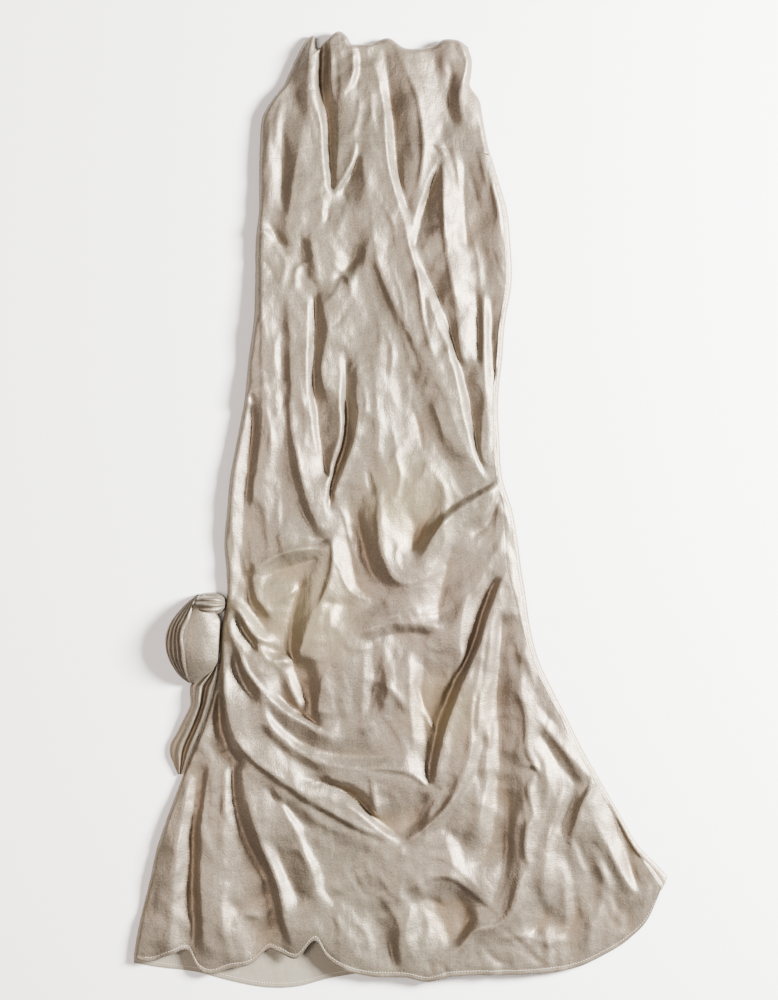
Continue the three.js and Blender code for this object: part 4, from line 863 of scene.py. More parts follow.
@dataclass
class ClothFace:
    """The height of the dress's upper face over the floor, in millimetres.

    The heights are relaxed between the fold lines from a coarse grid to a fine one. Then come the
    overlapping edges, the pressed creases and a light crumple.
    """

    cells: tuple[int, ...] = (16, 8, 4, 2)
    rounds: tuple[int, ...] = (400, 260, 160, 110)
    margin: float = 24.0
    rest: float = 12.0
    grip: float = 5.0
    end_grip: float = 0.002
    hurry: tuple[float, ...] = (1.9, 1.9, 1.85, 1.85)
    fade: float = 26.0
    softness: float = 0.9
    spread: float = 6.0
    spread_share: float = 0.36
    relief: float = 1.5
    limit: float = 12.0
    crest: float = 0.8
    crest_widths: tuple[float, float] = (9, 3)
    crest_length: float = 75.0
    crest_least: float = 2.0
    lap_width: float = 2.2
    crease_gain: float = 1.45
    wander: float = 22.0
    wander_cells: tuple[float, float] = (110, 90)
    patch_cell: float = 130.0
    patch_share: float = 0.55
    floor: float = 4.0
    floor_softness: float = 1.5
    x: Array = field(init=False)
    y: Array = field(init=False)
    z: Array = field(init=False)

    def __post_init__(self) -> None:
        """Relaxes the field and adds its finer forms."""
        self.z = np.full((1, 1), self.rest)
        self.x, self.y = np.zeros(1), np.zeros(1)
        for cell, rounds, over in zip(self.cells, self.rounds, self.hurry):
            self.refine(cell)
            self.relax(cell, rounds, over)
        self.z = mix(blur(self.z, self.softness), blur(self.z, self.spread), self.spread_share)
        self.z = self.rest + self.limit * np.tanh((self.z - self.rest) * self.relief / self.limit)
        for fold in FOLDS:
            self.sharpen(fold)
        for edge in EDGES:
            self.lap(edge)
        for crease in CREASES:
            self.press(crease)
        self.crumple()
        self.settle()

    def refine(self, cell: int) -> None:
        """Reads the field onto a finer grid.

        Args:
            cell: Spacing of the new grid.
        """
        ys = [row[0] for row in SIDES]
        right = max(row[2] for row in SIDES)
        x = np.arange(LEFT_SIDE(np.array(min(ys))) - self.margin, right + self.margin + cell, cell)
        y = np.arange(min(ys) - self.margin, max(ys) + self.margin + cell, cell)
        if len(self.x) == 1:
            z = np.full((len(y), len(x)), self.rest)
        else:
            z = self.height(*np.meshgrid(x, y))
        self.x, self.y, self.z = x, y, z

    def relax(self, cell: int, rounds: int, over: float) -> None:
        """Stretches the field over the folds.

        Args:
            cell: Grid spacing.
            rounds: How many times the field is relaxed.
            over: Share of the way to its neighbours' mean that a cell goes, over 1 to hurry it.
        """
        left, right, edge = (read(self.y)[:, None] for read in (LEFT_SIDE, RIGHT_SIDE, RIGHT_EDGE))
        outside = (self.x <= left + LEFT_ROLL) | (self.x >= right - RIGHT_ROLL)
        z = np.where(outside, edge, self.z)
        pull, goal = self.hold_folds(cell)
        j, i = np.indices(z.shape)
        boards = [((i + j) % 2 == parity) & ~outside for parity in (0, 1)]
        for _ in range(rounds):
            for board in boards:
                p = np.pad(z, 1, mode="edge")
                mean = (p[:-2, 1:-1] + p[2:, 1:-1] + p[1:-1, :-2] + p[1:-1, 2:]) / 4
                aim = (mean + pull * goal) / (1 + pull)
                z = np.where(board, z + over * (aim - z), z)
        self.z = z

    def hold_folds(self, cell: int) -> tuple[Array, Array]:
        """Draws the folds on the grid.

        Args:
            cell: Grid spacing.

        Returns:
            How hard each cell is held, and the height it is held at.
        """
        total, weight = np.zeros(self.z.shape), np.zeros(self.z.shape)
        for fold in FOLDS:
            p = spline(fold.path, cell / 2)
            run = run_along(p[:, :2])
            fade = min(self.fade, run[-1] * 0.45)
            grip = np.clip(np.minimum(run, run[-1] - run) / fade, 0, 1) ** 3 + self.end_grip
            i = np.rint((p[:, 0] - self.x[0]) / cell).astype(int)
            j = np.rint((p[:, 1] - self.y[0]) / cell).astype(int)
            inside = (i >= 0) & (j >= 0) & (i < len(self.x)) & (j < len(self.y))
            at = (j[inside], i[inside])
            np.add.at(total, at, p[inside, 2] * grip[inside])
            np.add.at(weight, at, grip[inside])
        return self.grip * weight, total / np.maximum(weight, 1e-9)

    def sharpen(self, fold: Fold) -> None:
        """Gives a long ridge a crisp crest, and a long valley a crisp floor.

        Args:
            fold: The fold, whose side toward the light is the gentle one on a ridge.
        """
        height = sum(z for _, _, z in fold.path) / len(fold.path)
        line = tuple((x, y) for x, y, _ in fold.path)
        gentle, steep = self.crest_widths
        if math.dist(line[0], line[-1]) < self.crest_length:
            return
        if height > self.rest + self.crest_least:
            self.press(Crease(self.crest, gentle, steep, line))
        elif height < self.rest - self.crest_least:
            self.press(Crease(-self.crest, steep, gentle, line))

    def beside(self, path: Sequence[Point], reach: float) -> tuple[Part, Array, Array]:
        """Measures the part of the face near a path.

        Args:
            path: Points of x and y.
            reach: How far from the path the part extends.

        Returns:
            Where the part lies in the grid, its distance from the path, positive at the path's left
            hand, and the share of the path's run beside each point.
        """
        p = spline(path, 6)
        i0, i1 = np.searchsorted(self.x, (p[:, 0].min() - reach, p[:, 0].max() + reach))
        j0, j1 = np.searchsorted(self.y, (p[:, 1].min() - reach, p[:, 1].max() + reach))
        gx, gy = np.meshgrid(self.x[i0:i1], self.y[j0:j1])
        best = np.full(gx.shape, 1e9)
        side, along = np.zeros(gx.shape), np.zeros(gx.shape)
        for k, (a, b) in enumerate(zip(p[:-1], p[1:])):
            dx, dy = b - a
            t = np.clip(((gx - a[0]) * dx + (gy - a[1]) * dy) / (dx * dx + dy * dy), 0, 1)
            ox, oy = gx - a[0] - t * dx, gy - a[1] - t * dy
            gap = np.hypot(ox, oy)
            near = gap < best
            best = np.where(near, gap, best)
            side = np.where(near, oy * dx - ox * dy, side)
            along = np.where(near, (k + t) / (len(p) - 1), along)
        return (slice(j0, j1), slice(i0, i1)), np.copysign(best, side), along

    def press(self, crease: Crease) -> None:
        """Adds one soft ridge or trough, sharpest on its line and fading at its ends.

        Args:
            crease: What is pressed in.
        """
        part, gap, along = self.beside(crease.path, 3.5 * max(crease.left, crease.right))
        width = np.where(gap > 0, crease.left, crease.right)
        profile = np.exp(-np.sqrt(1 + (gap / width * 1.6) ** 2) + 1)
        self.z[part] += self.crease_gain * crease.height * profile * np.sin(math.pi * along) ** 0.7

    def lap(self, edge: Edge) -> None:
        """Adds one crisp step that fades away from its line and at its ends.

        Args:
            edge: What is laid over.
        """
        part, gap, along = self.beside(edge.path, 3 * max(edge.left, edge.right))
        width = np.where(gap > 0, edge.left, edge.right)
        step = np.tanh(gap / self.lap_width) * np.exp(-((gap / width) ** 2))
        self.z[part] += edge.step / 2 * step * np.sin(math.pi * along) ** 0.5

    def crumple(self) -> None:
        """Adds the light rumples that washed satin keeps, longer along the dress than across."""
        gx, gy = np.meshgrid(self.x, self.y)
        warp, stray = (
            self.wander * gradient_noise(gx / cell, gy / cell, seed)
            for cell, seed in zip(self.wander_cells, (5, 6))
        )
        for rumple in CRUMPLES:
            c, s = math.cos(rumple.turn), math.sin(rumple.turn)
            u = (c * gx + s * gy + warp) / rumple.across
            v = (c * gy - s * gx + stray) / rumple.along
            bend = gradient_noise(u, v, rumple.seed)
            at = (gx / self.patch_cell + rumple.seed, gy / self.patch_cell)
            share = np.clip(self.patch_share + gradient_noise(*at, rumple.seed + 1), 0, 1)
            self.z += rumple.height * share * (0.35 * bend + 1 - 2.2 * np.sqrt(bend * bend + 0.004))

    def settle(self) -> None:
        """Keeps the face clear of the back panel that it lies on, with a soft limit."""
        soft = self.floor_softness
        self.z = self.floor + np.logaddexp(0, (self.z - self.floor) / soft) * soft

    def height(self, x: Array, y: Array) -> Array:
        """Reads the face smoothly from its grid.

        Args:
            x: Places across the dress.
            y: Places along it.

        Returns:
            The height at each.
        """
        cell = self.x[1] - self.x[0]
        fx = np.clip((x - self.x[0]) / cell, 0, len(self.x) - 1.001)
        fy = np.clip((y - self.y[0]) / cell, 0, len(self.y) - 1.001)
        i, j = fx.astype(int), fy.astype(int)
        u, v = fx - i, fy - j
        low = mix(self.z[j, i], self.z[j, i + 1], u)
        high = mix(self.z[j + 1, i], self.z[j + 1, i + 1], u)
        return mix(low, high, v)


def columns_across(width: float, right: float, count: int) -> Array:
    """Distances across a panel of one width, close together in its rolled edges.

    Args:
        width: Width of the panel.
        right: Depth of the roll at its right, or 0. The left one is always there.
        count: Number of faces across.

    Returns:
        One distance for each column.
    """
    steps = 0.5 - 0.5 * np.cos(np.linspace(0, math.pi / 2, ROLL_STEPS))
    starts = steps / steps[-1] * LEFT_ROLL
    ends = width - steps[::-1] / steps[-1] * right if right else np.array([width])
    between = count + 1 - len(starts) - len(ends)
    t = np.linspace(0, 1, between + 2)[1:-1]
    return np.hstack([starts, mix(starts[-1], ends[0], t), ends])


def columns_within(width: Array, right: float, count: int) -> Array:
    """Distances across a panel whose width changes from point to point.

    Args:
        width: Width of the panel at each point.
        right: Depth of the roll at its right, or 0.
        count: Number of faces across.

    Returns:
        The distance of each point from the left side.
    """
    plan = columns_across(PLAN_WIDTH, right, count)
    rim = np.searchsorted(plan, LEFT_ROLL, side="right")
    body = (plan - LEFT_ROLL) / (PLAN_WIDTH - LEFT_ROLL - right)
    distance = LEFT_ROLL + body[None] * (width - LEFT_ROLL - right)
    distance[:, :rim] = plan[None, :rim]
    if right:
        distance[:, -rim:] = width[:, -rim:] - (PLAN_WIDTH - plan[None, -rim:])
    return distance


def shifted(row: Array, along: float, drop: Array | float = 0.0, least: float = 0.0) -> Array:
    """Copies a row of points, moved along the dress and lowered.

    Args:
        row: The points.
        along: How far they move in y.
        drop: How far they are lowered.
        least: The height that they keep at least.

    Returns:
        The new row.
    """
    moved = row.copy()
    moved[:, 1] += along
    moved[:, 2] = np.maximum(moved[:, 2] - drop, least)
    return moved


def mesh_object(
    name: str, points: Array, faces: Array, materials: Sequence[bpy.types.Material]
) -> bpy.types.Object:
    """Makes a smooth mesh object from millimetre points.

    Args:
        name: Name of the piece.
        points: One point a row.
        faces: Corner numbers, one face a row.
        materials: The finishes.

    Returns:
        The new object, riding on the dress's body with the given finishes.
    """
    mesh = bpy.data.meshes.new(name)
    mesh.from_pydata((points * MM).tolist(), [], faces.tolist())
    mesh.shade_smooth()
    for material in materials:
        mesh.materials.append(material)
    piece = bpy.data.objects.new(name, mesh)
    bpy.context.scene.collection.objects.link(piece)
    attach(piece, "root")
    return piece


@dataclass(frozen=True)
class Sheet:
    """A grid of cloth points in millimetres, made into one smooth mesh."""

    name: str
    points: Array
    inside_from: int = 0

    def build(self, materials: Sequence[bpy.types.Material]) -> bpy.types.Object:
        """Makes the mesh.

        Args:
            materials: The finishes: the face's, and the inside's if the sheet shows it.

        Returns:
            The new object, riding on the dress's body.
        """
        rows, columns = self.points.shape[:2]
        at = np.arange(rows * columns).reshape(rows, columns)
        corners = [at[:-1, :-1], at[1:, :-1], at[1:, 1:], at[:-1, 1:]]
        quads = np.stack(corners, axis=-1).reshape(-1, 4)
        piece = mesh_object(self.name, self.points.reshape(-1, 3), quads, materials)
        if self.inside_from:
            inside = np.tile(np.arange(columns - 1) >= self.inside_from, rows - 1)
            piece.data.polygons.foreach_set("material_index", inside.astype(int).tolist())
        return piece


@dataclass(frozen=True)
class Channel:
    """A socket of a shader, with arithmetic that adds the nodes for it."""

    nodes: "Nodes"
    socket: bpy.types.NodeSocket

    def math(self, operation: str, *values: "Channel | float") -> "Channel":
        """Adds one Math node."""
        return self.nodes.add("ShaderNodeMath", {"operation": operation}, dict(enumerate(values)))

    def __add__(self, other: "Channel | float") -> "Channel":
        """Sum."""
        return self.math("ADD", self, other)

    def __mul__(self, other: "Channel | float") -> "Channel":
        """Product."""
        return self.math("MULTIPLY", self, other)

    def __sub__(self, other: "Channel | float") -> "Channel":
        """Difference."""
        return self.math("SUBTRACT", self, other)

    def __rsub__(self, other: float) -> "Channel":
        """Difference from a number."""
        return self.math("SUBTRACT", other, self)

    def __abs__(self) -> "Channel":
        """Size without its sign."""
        return self.math("ABSOLUTE", self)

    __radd__ = __add__
    __rmul__ = __mul__


@dataclass(frozen=True)
class Nodes:
    """The node tree of one material."""

    tree: bpy.types.NodeTree

    def add(self, kind: str, settings: dict, links: dict, output: int | str = 0) -> Channel:
        """Adds one node of any type.

        Args:
            kind: The node's type.
            settings: Its own settings, set first.
            links: Values or channels of its sockets.
            output: Which output comes back.

        Returns:
            That output.
        """
        made = self.tree.nodes.new(kind)
        for key, value in settings.items():
            setattr(made, key, value)
        for key, value in links.items():
            if isinstance(value, Channel):
                self.tree.links.new(value.socket, made.inputs[key])
            else:
                made.inputs[key].default_value = value
        return Channel(self, made.outputs[output])

    def noise(self, place: Channel, scale: Color, detail: float) -> Channel:
        """Adds a noise between 0 and 1.

        Args:
            place: Where it is read.
            scale: Its cells a metre along each axis.
            detail: How many finer noises it has.

        Returns:
            The noise.
        """
        product = {"operation": "MULTIPLY"}
        stretched = self.add("ShaderNodeVectorMath", product, {0: place, 1: scale})
        links = {"Vector": stretched, "Scale": 1.0, "Detail": detail}
        return self.add("ShaderNodeTexNoise", {}, links)

    def blend(self, factor: Channel, a: Color | Channel, b: Color | Channel) -> Channel:
        """Mixes two colours.

        Args:
            factor: Share of the second.
            a: The first colour.
            b: The second colour.

        Returns:
            The mixed colour.
        """
        first, second = ((*c, 1.0) if isinstance(c, tuple) else c for c in (a, b))
        links = {0: factor, 6: first, 7: second}
        return self.add("ShaderNodeMix", {"data_type": "RGBA"}, links, 2)

    def ramp(self, value: Channel, start: float, end: float, low: float, high: float) -> Channel:
        """Maps a value's range from start to end onto the range from low to high."""
        return self.add("ShaderNodeMapRange", {}, {0: value, 1: start, 2: end, 3: low, 4: high})


@dataclass(frozen=True)
class Finish:
    """A surface finish: the cloth's two tones, its gloss, its weave, its painted warm shade in low
    hollows and its painted warm bounce light round a few spots.
    """

    name: str
    color: Color
    shade: Color
    roughness: float
    sheen: float
    metallic: float
    grain_mm: float
    slub_mm: float
    bump: float
    crease: float = 0.9
    relief: float = 0.0008
    sheen_roughness: float = 0.45
    # Painted shade: the colour that the low places of the face darken towards, and the heights in
    # metres where that painted shade begins and where it is strongest.
    hollow: Color | None = None
    blush: Color | None = None
    painted_shade_range: tuple[float, float] = (0.012, 0.004)
    # Painted warm bounce light: the golden colour painted round a few spots in deep folds, and each
    # spot with its reach in metres.
    painted_bounce_light: Color = (0.22, 0.182, 0.1)
    painted_bounce_spots: tuple[tuple[Color, float], ...] = ()

    def creases(self, nodes: Nodes, place: Channel) -> Channel:
        """Draws fine sharp creases: two noises where they cross their middle value.

        Args:
            nodes: The material's nodes.
            place: Where the creases are read.

        Returns:
            Their height.
        """
        broad = abs(nodes.noise(place, (26.0, 13.0, 20.0), 1.0) - 0.5)
        fine = abs(nodes.noise(place, (62.0, 40.0, 50.0), 1.0) - 0.5)
        return broad * 5.0 + fine * 2.0

    def tint(self, nodes: Nodes, place: Channel, tone: Channel) -> Channel:
        """Mixes the cloth's colour over the dress, with painted warm bounce light round a few spots
        in deep folds and painted warm shade where the face lies low.

        Args:
            nodes: The material's nodes.
            place: Where the colour is read.
            tone: Share of the lighter tone.

        Returns:
            The colour.
        """
        drift = nodes.noise(place, (2.6, 2.0, 2.6), 2.0) * 3.2 - 1.1
        face = nodes.blend(drift, self.color, self.blush or self.color)
        color = nodes.blend(tone, self.shade, face)
        # Painted warm bounce light: near each spot in a deep fold, the colour turns golden.
        for bounce_spot, reach in self.painted_bounce_spots:
            apart = {0: place, 1: bounce_spot}
            away = nodes.add("ShaderNodeVectorMath", {"operation": "DISTANCE"}, apart, "Value")
            color = nodes.blend(nodes.ramp(away, reach, 0.0, 0.0, 0.75), color, self.painted_bounce_light)
        # Painted shade: where the face lies low, the colour darkens towards a warm brown.
        if self.hollow:
            height = nodes.add("ShaderNodeSeparateXYZ", {}, {0: place}, "Z")
            depth = nodes.ramp(height, *self.painted_shade_range, 0.0, 0.55)
            color = nodes.blend(depth, color, self.hollow)
        return color

    def build(self) -> bpy.types.Material:
        """Makes the material.

        Returns:
            The material, with a weave of slubs both ways and a fine grain.
        """
        material = bpy.data.materials.new(self.name)
        material.use_nodes = True
        nodes = Nodes(material.node_tree)
        shader = material.node_tree.nodes["Principled BSDF"]
        place = nodes.add("ShaderNodeTexCoord", {}, {}, "Object")
        fine, slub = 1000 / self.grain_mm, 1000 / self.slub_mm
        across = nodes.noise(place, (slub * 0.25, slub * 1.6, slub), 2.0)
        along = nodes.noise(place, (slub * 1.6, slub * 0.22, slub), 2.0)
        grain = nodes.noise(place, (fine, fine, fine), 3.0)
        cloud = nodes.noise(place, (9.0, 7.0, 9.0), 3.0)
        weave = across * 0.5 + along * 0.5
        tone = weave * 0.45 + grain * 1.35 + cloud * 0.7 - 0.8
        relief = weave * 0.45 + grain * 0.7 + self.creases(nodes, place) * self.crease
        bumped = {"Height": relief, "Strength": self.bump, "Distance": self.relief}
        varying = {
            "Base Color": self.tint(nodes, place, tone),
            "Roughness": self.roughness - 0.1 + weave * 0.22,
            "Normal": nodes.add("ShaderNodeBump", {}, bumped),
        }
        for socket, channel in varying.items():
            material.node_tree.links.new(channel.socket, shader.inputs[socket])
        shader.inputs["Sheen Weight"].default_value = self.sheen
        shader.inputs["Sheen Roughness"].default_value = self.sheen_roughness
        shader.inputs["Specular IOR Level"].default_value = 0.5
        shader.inputs["Metallic"].default_value = self.metallic
        return material


class Dressing(Enum):
    """The finishes that the dress has."""

    FACE = Finish(
        "satin_face", color=(0.212, 0.186, 0.135), shade=(0.102, 0.08, 0.06), roughness=0.47,
        sheen=0.05, metallic=0.61, grain_mm=2.4, slub_mm=5.0, bump=0.8,
        # hollow paints warm shade into the low places of the face.
        hollow=(0.17, 0.112, 0.06), blush=(0.23, 0.18, 0.136),
        # Spots of painted warm bounce light in the deep folds of the drape and the tucks.
        painted_bounce_spots=(((-0.148, -0.15, 0.0), 0.12), ((0.005, 0.01, 0.0), 0.09), ((0.07, -0.3, 0.0), 0.08)),
    )
    INSIDE = Finish(
        "satin_inside", color=(0.27, 0.245, 0.19), shade=(0.19, 0.165, 0.125), roughness=0.6,
        sheen=0.1, metallic=0.2, grain_mm=1.6, slub_mm=5.0, bump=0.5,
    )
    THREAD = Finish(
        "hem_thread", color=(0.62, 0.56, 0.46), shade=(0.5, 0.44, 0.35), roughness=0.5,
        sheen=0.1, metallic=0.0, grain_mm=0.4, slub_mm=1.0, bump=0.2,
    )


Dressed = dict[Dressing, bpy.types.Material]


@dataclass
class FrontYoke:
    """The cowl-necked yoke, from the neck edge to the cross seam."""

    face: ClothFace
    columns: int = 150
    rows: int = 84
    lip: float = 10.0
    lip_drop: float = 0.45
    neck_turn: tuple[tuple[float, float], ...] = ((9.0, 3.5), (4.0, 3.0), (1.2, 2.2), (0.2, 1.0))
    row_crowding: float = 1.3
    allowance: float = 2.5
    lowest: float = 0.3
    allowance_lowest: float = 0.2

    def grid(self) -> Array:
        """Lays out the yoke.

        Returns:
            Points of its face with its turned neck edge and its seam allowance.
        """
        left, right = LEFT_SIDE(np.array(SEAM_LEVEL)), RIGHT_SIDE(np.array(SEAM_LEVEL))
        seam_x = left + columns_across(right - left, LEFT_ROLL, self.columns)
        seam = SEAM_LINE(seam_x) + SEAM_GAP / 2
        neck_width = RIGHT_SIDE(np.array(NECK_LEVEL)) - LEFT_SIDE(np.array(NECK_LEVEL))
        neck = NECK_LINE(columns_across(neck_width, LEFT_ROLL, self.columns) / neck_width)
        t = np.linspace(0, 1, self.rows + 1) ** self.row_crowding
        y = mix(neck[None], seam[None], t[:, None])
        width = RIGHT_SIDE(y) - LEFT_SIDE(y)
        d = columns_within(width, LEFT_ROLL, self.columns)
        x = LEFT_SIDE(y) + d
        lip = mix(self.lip_drop, 1, rounded(neck[None] - y, self.lip))
        side = rounded(np.minimum(d, width - d), LEFT_ROLL)
        z = self.face.height(x, y) * lip * side
        z = z - seam_ditch(y - seam[None]) * side
        points = np.stack([x, y, np.maximum(z, self.lowest)], axis=-1)
        return self.finish_edges(points, side[0])

    def finish_edges(self, points: Array, side: Array) -> Array:
        """Adds the neck's turned edge before the first row and the allowance after the last.

        Args:
            points: The yoke's face.
            side: Share of full height at each column.

        Returns:
            The face with both edges.
        """
        turned = [
            shifted(points[0], -back, drop * side, self.lowest) for back, drop in self.neck_turn
        ]
        brink = shifted(points[-1], SEAM_EDGE)
        allowance = shifted(points[-1], 0.0, self.allowance * side, self.allowance_lowest)
        return np.concatenate([turned, points[:-1], [brink, points[-1], allowance]])

    def build(self, dressed: Dressed) -> bpy.types.Object:
        """Builds the yoke.

        Args:
            dressed: The finishes.

        Returns:
            The piece.
        """
        piece = Sheet("satin_yoke", self.grid()).build([dressed[Dressing.FACE]])
        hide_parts("front_yoke")
        return piece


@dataclass
class FrontPanel:
    """The long front: bodice, drape and flared skirt in one panel."""

    face: ClothFace
    columns: int = 208
    rows: int = 400
    foot: float = 2.3
    hem_ditch: float = 3.5
    hem_ditch_spread: float = 1.3
    hem_turn: tuple[tuple[float, float], ...] = ((-0.5, 0.5), (0.3, 1.2), (7.0, 1.3))
    allowance: float = 2.0
    lowest: float = 2.2
    stitched: tuple[int, int] = (8, -2)

    def grid(self) -> Array:
        """Lays out the front.

        Returns:
            Points of the panel with its seam allowances and its turned hem.
        """
        left, seam_x = LEFT_SIDE(np.array(SEAM_LEVEL)), side_seam(np.array(SEAM_LEVEL))
        seam = SEAM_LINE(left + columns_across(seam_x - left, 0, self.columns)) - SEAM_GAP / 2
        hem_left, hem_right = FRONT_HEM[0][0], FRONT_HEM[-1][0]
        hem = FRONT_HEM_LINE(hem_left + columns_across(hem_right - hem_left, 0, self.columns))
        t = np.linspace(0, 1, self.rows + 1)[:, None]
        y = mix(seam[None], hem[None], t)
        width = side_seam(y) - LEFT_SIDE(y)
        d = columns_within(width, 0, self.columns)
        x = LEFT_SIDE(y) + d
        side = rounded(d, LEFT_ROLL)
        z = mix(self.foot, self.face.height(x, y), side)
        z = z - (seam_ditch(seam[None] - y) + seam_ditch(width - d)) * side
        from_stitches = (y - hem[None] - self.hem_turn[-1][0]) / self.hem_ditch_spread
        z = z - self.hem_ditch * seam_ditch(from_stitches) * side
        return self.finish_edges(np.stack([x, y, z], axis=-1))

    def finish_edges(self, points: Array) -> Array:
        """Adds the allowance at the cross seam and turns the hem under.

        Args:
            points: The front's face.

        Returns:
            The face with both edges.
        """
        allowance = points[0].copy()
        allowance[1:, 2] -= self.allowance
        hem = [shifted(points[-1], back, drop, self.lowest) for back, drop in self.hem_turn]
        brink = shifted(points[0], -SEAM_EDGE)
        return np.concatenate([[allowance, points[0], brink], points[1:], hem])

    def stitch_row(self) -> Array:
        """Where the hem's stitches lie."""
        return self.grid()[STITCH_ROW, slice(*self.stitched)] + (0, 0, STITCH_RISE)

    def build(self, dressed: Dressed) -> bpy.types.Object:
        """Builds the front panel.

        Args:
            dressed: The finishes.

        Returns:
            The piece.
        """
        piece = Sheet("satin_front", self.grid()).build([dressed[Dressing.FACE]])
        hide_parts("front_panel")
        return piece


@dataclass
class BackPanel:
    """The plain back: it rolls up round the right side to the side seam, and lies flat below."""

    face: ClothFace
    rows: int = 400
    strip: int = 8
    roll: int = 12
    floor: int = 60
    scoop: float = 60.0
    lie: float = 0.8
    beside_seam: float = 0.03
    hem_lift: float = 0.6
    hem_lift_from: float = 0.8
    corner: float = 18.0
    corner_from: float = 0.9
    allowance: float = 2.0
    hem_turn: tuple[tuple[float, float], ...] = ((-0.4, 0.3), (0.4, 0.7), (6.0, 0.75))
    lowest: float = 0.05
    stitched: tuple[int, int] = (-40, -1)

    @property
    def inside_from(self) -> int:
        """The first column of faces that shows the cloth's inside."""
        return 1 + self.strip + self.roll

    def grid(self) -> Array:
        """Lays out the back from the side seam round to its left side.

        Returns:
            Points of the allowance, the strip at the right, the roll and the part that lies flat.
        """
        t = np.linspace(0, 1, self.rows + 1)[:, None]
        top = SEAM_LINE(RIGHT_SIDE(np.array(SEAM_LEVEL))) - SEAM_GAP / 2
        side_y = mix(top, FRONT_HEM[-1][1], t)
        right, seam = RIGHT_SIDE(side_y), side_seam(side_y) + SEAM_GAP
        roll_x, edge = right - RIGHT_ROLL, RIGHT_EDGE(side_y)
        k = np.linspace(0, 1, self.strip, endpoint=False)[None]
        k = np.insert(k, 1, self.beside_seam, axis=1)[:, :-1]
        strip_x = mix(seam, roll_x, k)
        strip_z = self.face.height(strip_x, side_y * np.ones_like(strip_x))
        strip_z = mix(strip_z - seam_ditch(strip_x - seam), edge, k**3)
        strip_y = side_y + self.rounding(t, (strip_x - seam) / (right - seam))
        flange = np.stack([seam, side_y, strip_z[:, :1] - self.allowance], axis=-1)
        strip = np.stack([strip_x, strip_y, strip_z], axis=-1)
        turn = np.linspace(0, math.pi, self.roll + 1)[None]
        rolled = roll_x + RIGHT_ROLL * np.sin(turn)
        roll_y = side_y + self.rounding(t, (rolled - seam) / (right - seam))
        roll_z = self.lie + (edge - self.lie) / 2 * (1 + np.cos(turn))
        roll = np.stack([rolled, roll_y, roll_z], axis=-1)
        return self.turn_hem(np.concatenate([flange, strip, roll, self.flat(t, roll_x)], axis=1))

    def flat(self, t: Array, roll_x: Array) -> Array:
        """Lays out the part that lies on the floor.

        Args:
            t: Share of the length at each row.
            roll_x: Where the roll ends at each row.

        Returns:
            Its points, from the roll to the left side, with an open scoop at the top.
        """
        across = np.linspace(1, 0, self.floor + 1)[None, 1:]
        hem_x = mix(BACK_HEM[0][0], BACK_HEM[-1][0], across)
        top_x = mix(LEFT_SIDE(np.array(SEAM_LEVEL)), RIGHT_SIDE(np.array(SEAM_LEVEL)), across)
        y = mix(SEAM_LINE(top_x) - SEAM_GAP / 2, BACK_HEM_LINE(hem_x), t)
        y = y - 4 * across * (1 - across) * self.scoop * (1 - t)
        x = mix(LEFT_SIDE(y), roll_x, across)
        lift = self.hem_lift * gradient_noise(x / 40, y / 60, 71) + self.hem_lift
        near = past(t, self.hem_lift_from) * np.clip(across * 12, 0, 1)
        return np.stack([x, y, self.lie + near * lift * np.ones_like(x)], axis=-1)

    def rounding(self, t: Array, out: Array) -> Array:
        """How far the hem corner is drawn up, by share of the length and share of the strip."""
        return self.corner * past(t, self.corner_from) ** 2 * np.clip(out, 0, 1) ** 1.5

    def turn_hem(self, points: Array) -> Array:
        """Turns the back's hem under, apart from the strip and the roll.

        Args:
            points: The back.

        Returns:
            The back with its hem.
        """
        kept, flat = points[-1, : self.inside_from], points[-1, self.inside_from :]
        hem = [
            np.concatenate([kept, shifted(flat, back, drop, self.lowest)])
            for back, drop in self.hem_turn
        ]
        return np.concatenate([points, hem])

    def stitch_row(self) -> Array:
        """Where the stitches lie in the part of the hem that shows."""
        return self.grid()[STITCH_ROW, slice(*self.stitched)] + (0, 0, STITCH_RISE)

    def build(self, dressed: Dressed) -> bpy.types.Object:
        """Builds the back panel.

        Args:
            dressed: The finishes.

        Returns:
            The piece.
        """
        sides = [dressed[Dressing.FACE], dressed[Dressing.INSIDE]]
        piece = Sheet("satin_back", self.grid(), self.inside_from).build(sides)
        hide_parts("back_panel")
        return piece


# The pleated loop of the bow: y, its outer and its inner side, and the share of full height
LOOP_SECTIONS: tuple[Row, ...] = (
    (-126, -304, -288, 0.55), (-136, -317, -286, 0.75), (-150, -331, -278, 0.9),
    (-165, -343, -269.5, 0.97), (-180, -350, -270, 1.0), (-196, -353, -271, 1.0),
    (-212, -351, -272, 0.96), (-228, -345, -274, 0.86), (-241, -337, -283, 0.7),
    (-252, -327, -297, 0.5), (-259, -317, -305, 0.3),
)
# The tail of the bow: y, its outer and its inner side, and the height of its fold
TAIL_SECTIONS: tuple[Row, ...] = (
    (-223, -275.5, -272.5, 15), (-236, -283, -274, 17), (-248, -297, -276, 19),
    (-256, -308, -278, 20), (-262, -315, -280, 21), (-275, -316, -283, 22), (-289, -315, -287, 21),
    (-315, -326, -295, 19), (-333, -335, -302, 17), (-352, -345, -310, 15), (-364, -346, -315, 13),
    (-380, -341, -321, 10), (-396, -334, -328, 7),
)
# Height across the tail: share of its width, share of the fold's height
TAIL_PROFILE: tuple[Row, ...] = (
    (0, 0.05), (0.03, 0.3), (0.08, 0.45), (0.3, 0.6), (0.46, 0.82), (0.52, 0.8), (0.62, 0.4),
    (0.74, 0.36), (0.86, 0.9), (1, 0.95),
)


